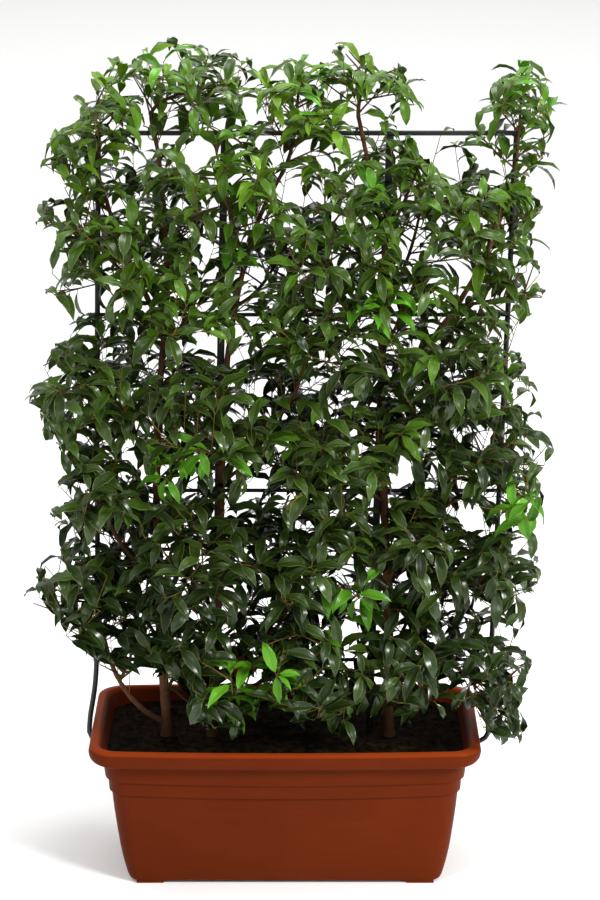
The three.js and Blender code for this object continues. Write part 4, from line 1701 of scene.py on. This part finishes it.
@dataclass
class SkyMap:
    """Where the sky shows, as seen from the front: outside the foliage's edge and in the gaps in it.

    A place is where the line of sight crosses the trellis's plane, in millimetres to the right and up. The
    large gaps are given. Small ones are dealt out by seeded noise, more of them high up and near the edge.
    """

    edge: Sequence[tuple[float, float]]
    gaps: Sequence[tuple[float, ...]]
    eye: Vector = field(default_factory=lambda: Vector(EYE))
    step: float = 5.0
    half_width: float = 660.0
    height: float = 1860.0
    grain: float = 29.0
    low_share: float = 0.335
    high_share: float = 0.32
    thinner_from: float = 1150.0
    thinner_to: float = 1600.0
    edge_share: float = 0.8
    edge_depth: float = 34.0
    past_edge: int = 3
    depth_steps: int = 16

    def __post_init__(self) -> None:
        """Marks a grid of places."""
        x, z = np.meshgrid(
            np.arange(-self.half_width, self.half_width, self.step), np.arange(0.0, self.height, self.step)
        )
        inside = np.zeros(x.shape, bool)
        for (x0, z0), (x1, z1) in zip(self.edge, [*self.edge[1:], self.edge[0]]):
            if z0 != z1:
                crossed = x0 + (z - z0) * (x1 - x0) / (z1 - z0)
                inside ^= ((z0 > z) != (z1 > z)) & (x < crossed)
        for _ in range(self.past_edge):
            inside = ~self.shrunk(~inside)
        depth, layer = np.zeros(x.shape), inside
        for _ in range(self.depth_steps):
            depth += layer * self.step
            layer = self.shrunk(layer)
        grid = zip(x.ravel() / self.grain, z.ravel() / self.grain)
        waves = np.array([noise.fractal(Vector((a, 5.0, b)), 0.8, 2.1, 2) for a, b in grid])
        rank = (waves.argsort().argsort() / waves.size).reshape(x.shape)
        rise = np.clip((z - self.thinner_from) / (self.thinner_to - self.thinner_from), 0.0, 1.0)
        share = self.low_share + (self.high_share - self.low_share) * rise
        share = share + self.edge_share * np.exp(-depth / self.edge_depth)
        for gap_x, gap_z, wide, high in self.gaps:
            inside &= ((x - gap_x) / wide) ** 2 + ((z - gap_z) / high) ** 2 > 1
        self.open = ~inside | (rank > 1 - share)

    @staticmethod
    def shrunk(marked: np.ndarray) -> np.ndarray:
        """What is left of marked places without those at their edge."""
        around = [np.roll(marked, way, axis) for way in (-1, 1) for axis in (0, 1)]
        return marked & np.logical_and.reduce(around)

    def seen(self, point: Vector) -> tuple[float, float]:
        """Where a point is seen.

        Args:
            point: The point.

        Returns:
            Where its line of sight crosses the trellis's plane, in millimetres to the right and up.
        """
        ray = point - self.eye
        share = -self.eye.y / ray.y
        return (self.eye.x + ray.x * share) * 1000, (self.eye.z + ray.z * share) * 1000

    def shows(self, point: Vector) -> bool:
        """Whether a point would stand in front of the sky that shows."""
        x, z = self.seen(point)
        return bool(self.open[int(z / self.step), int((x + self.half_width) / self.step)])


@dataclass
class Foliage:
    """All foliage: a stem in each mass, side twigs, shoots and leaves, by one seeded rule."""

    limbs: Limbs
    trellis: Trellis
    trough: Trough
    # How many sides and rings each kind of stem has
    leader_mesh: tuple = (7, 16)
    twig_mesh: tuple = (5, 6)
    shoot_mesh: tuple = (4, 4)
    stalk_mesh: tuple = (4, 2)
    leader_radii: tuple = (0.0042, 0.0022)
    leader_reach: float = 0.35
    leader_lift: float = 0.4
    leader_tries: tuple = (1.0, 0.85, 0.7, 0.55, 0.4, 0.25)
    leader_sideways: float = 0.058
    leader_swing: float = 0.025
    latest_entry: float = 0.6
    leader_samples: int = 40
    limb_samples: int = 80
    twig_count: int = 9
    twig_first: float = 0.3
    twig_outward: float = 1.7
    twig_short: float = 0.030
    twig_shortest: float = 0.035
    twig_tries: int = 6
    twig_radii: tuple = (0.0022, 0.0012)
    twig_droop: float = 0.12
    bare_share: float = 0.2
    shoot_lengths: tuple = (0.045, 0.115)
    shoot_outward: tuple = (0.5, 1.5)
    shoot_lift: tuple = (0.45, 1.0)
    shoot_droop: tuple = (-0.15, 0.25)
    shoot_radii: tuple = (0.0014, 0.0008)
    shoot_apart: tuple = (0.038, 0.046)
    shoot_patience: int = 14
    shoot_candidates: int = 14
    shoot_bare: float = 0.4
    leaf_lengths: tuple = (0.058, 0.086)
    leaf_facing: tuple = (0.42, 0.12)
    leaf_sway: tuple = (-0.3, 0.3)
    leaf_forward: float = 0.6
    leaf_nod: float = 0.2
    leaf_turn: tuple = (1.45, 1.5)
    leaf_lift: tuple = (-0.2, 0.6)
    leaf_odds: tuple = (-0.5, 0.5)
    leaf_hooks: tuple = (0.0, 0.8)
    leaf_flattest: float = 0.25
    leaf_smaller: float = 0.93
    sideways: tuple = (0.35, 0.08)
    leaf_spacing: float = 0.015
    leaf_from: float = 0.25
    leaf_to: float = 0.96
    leaf_turns: int = 6
    leaf_outward: tuple = (0.8, 1.6)
    leaf_apart: tuple = (0.0168, 0.0165)
    leaf_cell: float = 0.04
    tip_cell: float = 0.08
    # The share of the twig's length and the size of each leaf at its tip
    tip_leaves: tuple = ((0.99, 0.85), (1.0, 0.75), (1.0, 0.6))
    stalk: float = 0.007
    stalk_radii: tuple = (0.0010, 0.0007)
    limb_half: float = 0.009
    sample_spacing: float = 0.008
    clearance: float = 0.003
    tip_clearance: float = 0.006
    soil_clearance: float = 0.296
    clear_of_trough: float = 0.3298
    over_rim: float = 0.325
    past_rim: float = 0.012
    inside_ends: float = 0.03
    inside_sides: float = 0.02
    nearest: float = -0.276
    farthest: float = 0.264
    low: float = 0.4
    high: float = 1.65
    tint_spread: float = 0.17
    # How high in the foliage each tint ends, from 0 to 1. Above them all the leaves are WARM. The tints grow
    # lighter with height, as painted shade low down and painted light from above high up.
    painted_light_heights: tuple = (
        (Tint.SHADE, 0.26), (Tint.DEEP, 0.55), (Tint.MATURE, 0.83), (Tint.BRIGHT, 1.1),
    )
    # Places from the front, to the right and up from the middle of the trough's underside, in millimetres.
    # A gap has its half width and half height too.
    edge: tuple = (
        (-325, 410), (-397, 440), (-480, 472), (-541, 570), (-478, 690), (-497, 733), (-455, 819),
        (-484, 900), (-541, 1030), (-447, 1160), (-483, 1241), (-458, 1323), (-517, 1364), (-467, 1445),
        (-501, 1540), (-432, 1598), (-348, 1712), (-238, 1748), (-97, 1736), (-27, 1686), (45, 1722),
        (100, 1752), (184, 1700), (278, 1690), (300, 1595), (318, 1540), (338, 1580), (373, 1651),
        (430, 1708), (537, 1700), (565, 1605), (550, 1550), (556, 1485), (513, 1405), (535, 1345),
        (502, 1270), (524, 1190), (478, 1116), (482, 1075), (532, 990), (556, 905), (523, 862), (546, 780),
        (555, 645), (515, 590), (492, 480), (510, 379), (512, 229), (454, 238), (390, 305), (305, 290),
        (200, 300), (169, 265), (126, 235), (31, 265), (0, 300), (-80, 258), (-225, 262), (-252, 365),
    )
    gaps: tuple = (
        (-137, 1522, 34, 12), (-323, 1417, 12, 22), (-315, 1380, 13, 12), (-275, 1297, 21, 13),
        (-149, 1268, 20, 11), (-358, 1268, 15, 12), (-200, 1171, 32, 11), (-71, 1264, 15, 18),
        (41, 1425, 60, 20), (11, 1466, 24, 12), (137, 884, 26, 15), (238, 869, 14, 11), (135, 933, 14, 8),
        (390, 741, 24, 20), (255, 612, 14, 12), (239, 542, 12, 15), (280, 1545, 30, 44), (330, 1490, 40, 22),
        (240, 1330, 20, 14), (-30, 700, 14, 20), (395, 930, 20, 12), (60, 1180, 16, 14), (-330, 905, 22, 12),
        (-215, 600, 20, 14), (205, 745, 14, 18), (415, 560, 14, 18), (320, 1180, 18, 14), (-60, 820, 16, 12),
    )
    fresh: tuple = (
        (-115, 1313), (-80, 1290), (210, 1205), (172, 1200), (173, 1390), (173, 1425), (104, 560), (140, 605),
        (180, 588), (-9, 426), (-46, 430), (-84, 388), (-122, 400), (474, 783), (511, 780), (-155, 899),
        (-266, 850), (-6, 1532), (100, 1640), (60, 1700), (447, 1690), (520, 1640), (-230, 1700), (-60, 1417),
    )
    fresh_reach: float = 0.034
    red: tuple = ((-240, 1310), (370, 450), (-95, 435))
    yellow: tuple = ((-455, 1050), (40, 810), (-300, 1035))
    odd_reach: float = 0.009
    twig_bark: Bark = Bark("twig_bark", srgb(76, 62, 36), srgb(34, 29, 16))
    shoot_bark: Bark = Bark("shoot_bark", srgb(98, 90, 42), srgb(62, 42, 24))
    stalk_skin: Bark = Bark("stalk_skin", srgb(92, 90, 40), srgb(64, 46, 24), srgb(110, 108, 58))
    twigs: list[tuple[np.ndarray, list]] = field(default_factory=list)
    shoots: list[tuple[np.ndarray, list]] = field(default_factory=list)
    leaves: dict[Tint, list[Leaf]] = field(default_factory=lambda: {tint: [] for tint in Tint})

    def __post_init__(self) -> None:
        """Gathers what leaves keep clear of."""
        self.sky = SkyMap(self.edge, self.gaps)
        self.leaf_room = OpenRoom(self.leaf_cell)
        self.tip_room = OpenRoom(self.tip_cell)
        lines = [(path, self.limb_half) for path in self.limbs.paths.values()]
        samples = []
        for path, half in [*lines, *self.trellis.lines()]:
            count = max(2, round(path.length / self.sample_spacing))
            samples += [(path.point(step / count), half) for step in range(count + 1)]
        self.taken = kdtree.KDTree(len(samples))
        self.thickness = [half for _, half in samples]
        for index, (point, _) in enumerate(samples):
            self.taken.insert(point, index)
        self.taken.balance()

    def is_free(self, point: Vector, clearance: float | None = None) -> bool:
        """Whether a point is clear of limbs, trellis, soil and trough.

        Args:
            point: The point.
            clearance: How far it has to stay from limbs and trellis, or None for the usual way.

        Returns:
            Whether it is clear.
        """
        _, index, distance = self.taken.find(point)
        if distance < self.thickness[index] + (clearance or self.clearance):
            return False
        if point.z > self.clear_of_trough:
            return True
        x, y = abs(point.x), abs(point.y)
        if x < self.trough.half_width - self.inside_ends and y < self.trough.half_depth - self.inside_sides:
            return point.z > self.soil_clearance
        return x > self.trough.half_width + self.past_rim or point.z > self.over_rim

    def height_share(self, point: Vector) -> float:
        """How high in the foliage a point is, from 0 to 1."""
        return min(1.0, max(0.0, (point.z - self.low) / (self.high - self.low)))

    def is_near(self, point: Vector, places: Sequence[tuple[float, float]], reach: float) -> bool:
        """Whether a point is seen near one of some places."""
        x, z = self.sky.seen(point)
        return any(math.hypot(x - place_x, z - place_z) < reach * 1000 for place_x, place_z in places)

    def leader(self, mass: Mass, space: Space) -> Path:
        """The stem of a mass, from the limb that carries it to the upper part of its space.

        Args:
            mass: The mass.
            space: Its room.

        Returns:
            The stem's line.
        """
        limb = self.limbs.paths[mass.on]
        start = limb.point(limb.share_at(mass.at / 1000) if mass.at else 1.0)
        onward = limb.tangent(1.0)
        away = space.middle - start
        push = away.normalized() * self.leader_reach
        far = space.middle + Vector(p * r for p, r in zip(push, space.reach))
        far.z += self.leader_lift * space.reach.z
        tips = [space.middle.lerp(far, share) for share in self.leader_tries]
        tip = next((tip for tip in tips if not self.sky.shows(tip)), space.middle)
        bend = (start + space.middle) / 2 if mass.at else start + onward * away.length / 2
        if mass.side:
            bend.x = start.x + mass.side * self.leader_sideways
            bend.y = start.y - self.leader_swing
        return bowed_path(start, bend, tip)

    def tint_for(self, tip: Vector, draw: random.Random) -> Tint:
        """The kind of leaf that a shoot bears, by its place and by chance: lighter tints higher up, as
        painted light from above.

        Args:
            tip: The shoot's tip.
            draw: The source of chance.

        Returns:
            The kind of leaf.
        """
        if tip.y < 0.0 and self.is_near(tip, self.fresh, self.fresh_reach):
            return Tint.YOUNG
        # Painted light and shade: the higher the shoot, the lighter its tint
        shown = self.height_share(tip) + draw.gauss(0.0, self.tint_spread)
        return next((tint for tint, limit in self.painted_light_heights if shown < limit), Tint.WARM)

    def pose(self, space: Space, line: Path, share: float, size: float, draw: random.Random) -> Leaf | None:
        """The way in which a leaf has most room, or None where it has too little.

        Args:
            space: The room of its mass.
            line: The twig that it grows on.
            share: Where on the twig it grows.
            size: Its length beside a full one's.
            draw: The source of chance.

        Returns:
            The leaf.
        """
        stem, onward = line.point(share), line.tangent(share)
        high = self.height_share(stem)
        length = draw.uniform(*self.leaf_lengths) * size * mix(1.0, self.leaf_smaller, high)
        front = mix(*self.leaf_facing, high) * math.copysign(1.0, space.middle.y)
        sway = draw.uniform(*self.leaf_sway), front + draw.uniform(*self.leaf_sway)
        facing = UP + Vector((*sway, 0.0)) + onward * self.leaf_nod
        turned = draw.uniform(0, WHOLE_TURN)
        across = onward.orthogonal().normalized()
        apart = mix(*self.leaf_apart, high)
        best, worth = None, 0.0
        for step in range(self.leaf_turns):
            side = Matrix.Rotation(turned + step * WHOLE_TURN / self.leaf_turns, 3, onward) @ across
            for outward in self.leaf_outward:
                lift = mix(*self.leaf_lift, high) + draw.uniform(*self.leaf_sway)
                way = (onward * self.leaf_forward + side * outward + UP * lift).normalized()
                normal = facing - way * facing.dot(way)
                if normal.length < self.leaf_flattest:
                    continue
                turn = mix(*self.leaf_turn, high) + draw.uniform(*self.leaf_odds)
                hook, twist = draw.uniform(*self.leaf_hooks), draw.uniform(*self.leaf_odds)
                root = stem + way * self.stalk
                leaf = Leaf(stem, root, way, normal.normalized(), length, turn, hook, twist, draw.random())
                heart, past, tip = (leaf.at(share) for share in (0.5, 0.75, 1.0))
                if not space.holds(heart) or any(map(self.sky.shows, (heart, past, tip))):
                    continue
                in_depth = self.nearest < tip.y < self.farthest
                if not (in_depth and self.is_free(heart) and self.is_free(tip)):
                    continue
                room = self.leaf_room.distance(heart)
                value = room * (mix(*self.sideways, high) + abs(way.x))
                if room > apart and value > worth:
                    best, worth = leaf, value
        return best

    def leaf_along(self, space: Space, line: Path, start: float, tint: Tint, draw: random.Random) -> float:
        """Leaves along a twig, and smaller ones closer together at its tip.

        Args:
            space: The room of the mass.
            line: The twig.
            start: The share of its length that bears none.
            tint: The kind of leaf.
            draw: The source of chance.

        Returns:
            The share of the twig's length at which its last leaf grows, or 0 where it bears none.
        """
        last = 0.0
        count = max(2, round(line.length * (1 - start) / self.leaf_spacing))
        places = [(mix(start, self.leaf_to, k / count), 1.0) for k in range(count + 1)]
        odd = ((Tint.RED, self.red), (Tint.YELLOW, self.yellow)) if space.middle.y < 0 else ()
        for share, size in (*places, *self.tip_leaves):
            leaf = self.pose(space, line, share, size, draw)
            if leaf is None:
                continue
            last = share
            self.leaf_room.add(leaf.at(0.5))
            near = (kind for kind, spots in odd if self.is_near(leaf.root, spots, self.odd_reach))
            self.leaves[next(near, tint)].append(leaf)
        return last

    @staticmethod
    def drooped(start: Vector, direction: Vector, length: float, rise: float) -> Path:
        """A twig's line, bent up or down from a straight one."""
        end = start + direction * length + UP * rise * length
        return bowed_path(start, start + direction * length * 0.5, end, 8)

    def grow(self, mass: Mass, draw: random.Random) -> None:
        """One mass: its stem, its side twigs, then shoots wherever there is room, and their leaves.

        Args:
            mass: The mass.
            draw: The source of chance.
        """
        space = Space(mass)
        leader = self.leader(mass, space)
        self.twigs.append(tube(leader, self.leader_radii, *self.leader_mesh))
        entry, _ = self.stretch_within(space, leader, self.leader_samples) or (self.latest_entry, 1.0)
        entry = min(entry, self.latest_entry)
        carriers = [(leader, entry, 1.0), *self.limbs_within(space)]
        grown = [(leader, entry)]
        for k in range(self.twig_count):
            share = mix(entry, 1.0, (k + self.twig_first) / self.twig_count)
            start, onward = leader.point(share), leader.tangent(share)
            across = onward.orthogonal().normalized()
            for attempt in range(self.twig_tries):
                angle = k * GOLDEN_ANGLE + attempt * math.pi / 3
                side = Matrix.Rotation(angle, 3, onward) @ across
                direction = (onward + side * self.twig_outward).normalized()
                length = space.room_along(start, direction) - self.twig_short
                line = self.drooped(start, direction, length, draw.uniform(-self.twig_droop, self.twig_droop))
                clear = all(self.is_free(line.point(share)) for share in (0.4, 0.7, 1.0))
                if length >= self.twig_shortest and clear and not self.sky.shows(line.point(1.0)):
                    self.twigs.append(tube(line, self.twig_radii, *self.twig_mesh))
                    carriers.append((line, self.bare_share, 1.0))
                    grown.append((line, self.bare_share))
                    break
        self.fill(space, carriers, draw)
        for line, start in grown:
            tint = self.tint_for(line.point(1.0), draw)
            self.leaf_along(space, line, max(start, self.leaf_from), tint, draw)

    @staticmethod
    def stretch_within(space: Space, line: Path, samples: int, least: int = 1) -> tuple[float, float] | None:
        """The stretch of a line that runs through a space.

        Args:
            space: The room of a mass.
            line: The line.
            samples: How many points of it are tried.
            least: How many of them have to lie in the space.

        Returns:
            The shares of the line's length at which the stretch starts and ends, or None.
        """
        shares = [step / (samples - 1) for step in range(samples)]
        within = [share for share in shares if space.holds(line.point(share))]
        return (within[0], within[-1]) if len(within) >= least else None

    def limbs_within(self, space: Space) -> list[tuple[Path, float, float]]:
        """The limbs that run through a space, each with the stretch that does.

        Args:
            space: The room of a mass.

        Returns:
            The limbs' lines, and from where to where on them.
        """
        paths = self.limbs.paths.values()
        found = [(path, self.stretch_within(space, path, self.limb_samples, 3)) for path in paths]
        return [(path, *stretch) for path, stretch in found if stretch]

    def fill(self, space: Space, carriers: list[tuple[Path, float, float]], draw: random.Random) -> None:
        """Shoots with leaves wherever a mass has room left, each from a limb, a twig or another shoot.

        Args:
            space: The room of the mass.
            carriers: What can bear shoots: its line, and from where to where on it.
            draw: The source of chance.
        """
        idle = 0
        while idle < self.shoot_patience:
            found, worth = None, 0.0
            for _ in range(self.shoot_candidates):
                line, first, last = draw.choice(carriers)
                share = mix(first, last, draw.random())
                start, onward = line.point(share), line.tangent(share)
                turn = Matrix.Rotation(draw.uniform(0, WHOLE_TURN), 3, onward)
                side = turn @ onward.orthogonal().normalized()
                lift = mix(*self.shoot_lift, self.height_share(start))
                direction = (onward + side * draw.uniform(*self.shoot_outward) + UP * lift).normalized()
                length = draw.uniform(*self.shoot_lengths)
                shoot = self.drooped(start, direction, length, draw.uniform(*self.shoot_droop))
                tip = shoot.point(1.0)
                if not space.holds(tip) or self.sky.shows(tip) or not self.is_free(tip, self.tip_clearance):
                    continue
                room = self.tip_room.distance(tip)
                if room > max(worth, mix(*self.shoot_apart, self.height_share(tip))):
                    found, worth = shoot, room
            idle = 0 if found else idle + 1
            if found:
                tip = found.point(1.0)
                self.tip_room.add(tip)
                last = self.leaf_along(space, found, self.leaf_from, self.tint_for(tip, draw), draw)
                if last:
                    self.shoots.append(tube(found.until(last), self.shoot_radii, *self.shoot_mesh))
                    carriers.append((found, self.shoot_bare * last, last))

    def build_wood(self) -> None:
        """The twigs and the young shoots, each kind joined."""
        kinds = (
            ("leafy_twigs", self.twigs, self.twig_bark), ("leafy_shoots", self.shoots, self.shoot_bark),
        )
        for name, tubes, bark in kinds:
            made = Joined()
            for points, faces in tubes:
                made.add(points, faces)
            dress(made.build(name), [bark.material()])

    def build_stalks(self) -> None:
        """The stalks of all leaves, joined."""
        made = Joined()
        for leaves in self.leaves.values():
            for leaf in leaves:
                end = leaf.root + leaf.onward * leaf.length * 0.06 - leaf.normal * 0.0004
                line = Path(np.array([leaf.stalk, end]))
                made.add(*tube(line, self.stalk_radii, *self.stalk_mesh))
        dress(made.build("leaf_stalks"), [self.stalk_skin.material()])

    def build(self) -> None:
        """Grows every mass and makes the pieces."""
        for index, mass in enumerate((*MASSES, *INFILLS)):
            self.grow(mass, random.Random(index + 1))
        nodes = [f"foliage_{mass.name}" for mass in MASSES]
        blades = Blades()
        for tint, leaves in self.leaves.items():
            parts = math.ceil(len(leaves) / blades.most_in_a_piece)
            for part in range(parts):
                piece = blades.build(f"leaves_{tint.value.name}_{part + 1}", leaves[part::parts])
                dress(piece, tint.value.materials(), nodes)
                nodes = []
        self.build_stalks()
        self.build_wood()
        log.info("leaves: %d, shoots: %d", sum(map(len, self.leaves.values())), len(self.shoots))


# The studio


@dataclass
class Studio:
    """A plain pale floor, soft light from large panels, and the camera at the photograph's angle."""

    floor_size: float = 80.0
    floor_colour: tuple = srgb(244, 244, 243)
    sky_strength: float = 0.8
    pitch: float = 0.2925
    lens: float = 109.74
    # Place, the point that it faces, size and power of each panel. The last one lights the floor behind.
    panels: tuple = (
        ((-2.4, -3.6, 4.2), (0.0, 0.0, 1.0), 1.5, 75.0),
        ((3.6, -3.2, 3.4), (0.0, 0.0, 0.8), 1.4, 325.0),
        ((0.3, 0.2, 4.6), (0.0, 0.0, 1.0), 2.2, 130.0),
        ((0.0, 9.0, 6.0), (0.0, 9.0, 0.0), 10.0, 190.0),
    )

    def build(self) -> None:
        """Makes the floor, the lights and the camera."""
        deselect()
        bpy.ops.mesh.primitive_plane_add(size=self.floor_size)
        floor = bpy.context.object
        floor.name = "studio_floor"
        graph = Graph("pale_floor")
        floor.data.materials.append(graph.finish(Base_Color=self.floor_colour, Roughness=0.9))
        for index, (place, aim, size, power) in enumerate(self.panels, 1):
            light = bpy.data.lights.new(f"panel_{index}", "AREA")
            light.shape, light.size, light.energy = "DISK", size, power
            panel = bpy.data.objects.new(light.name, light)
            bpy.context.scene.collection.objects.link(panel)
            panel.location = place
            panel.rotation_euler = (Vector(aim) - Vector(place)).to_track_quat("-Z", "Y").to_euler()
        world = bpy.data.worlds.new("studio")
        world.use_nodes = True
        background = world.node_tree.nodes["Background"]
        background.inputs["Color"].default_value = (1.0, 1.0, 1.0, 1.0)
        background.inputs["Strength"].default_value = self.sky_strength
        bpy.context.scene.world = world
        bpy.context.scene.view_settings.view_transform = "Standard"
        self.build_camera()

    def build_camera(self) -> None:
        """Makes the camera."""
        lens = bpy.data.cameras.new("photo_camera")
        lens.lens = self.lens
        camera = bpy.data.objects.new("photo_camera", lens)
        camera.location = EYE
        camera.rotation_euler = (math.pi / 2 - self.pitch, 0.0, 0.0)
        bpy.context.scene.collection.objects.link(camera)
        bpy.context.scene.camera = camera


def main() -> None:
    """Builds the studio and the plant, and notes the sizes."""
    logging.basicConfig(level=logging.INFO, format="%(message)s")
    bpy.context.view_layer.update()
    Studio().build()
    trough = Trough()
    trough.build()
    SoilBed(trough).build()
    trellis = Trellis()
    trellis.build()
    limbs = Limbs()
    limbs.build()
    TreeTies().build(trellis, limbs)
    Foliage(limbs, trellis, trough).build()


if __name__ == "__main__":
    main()
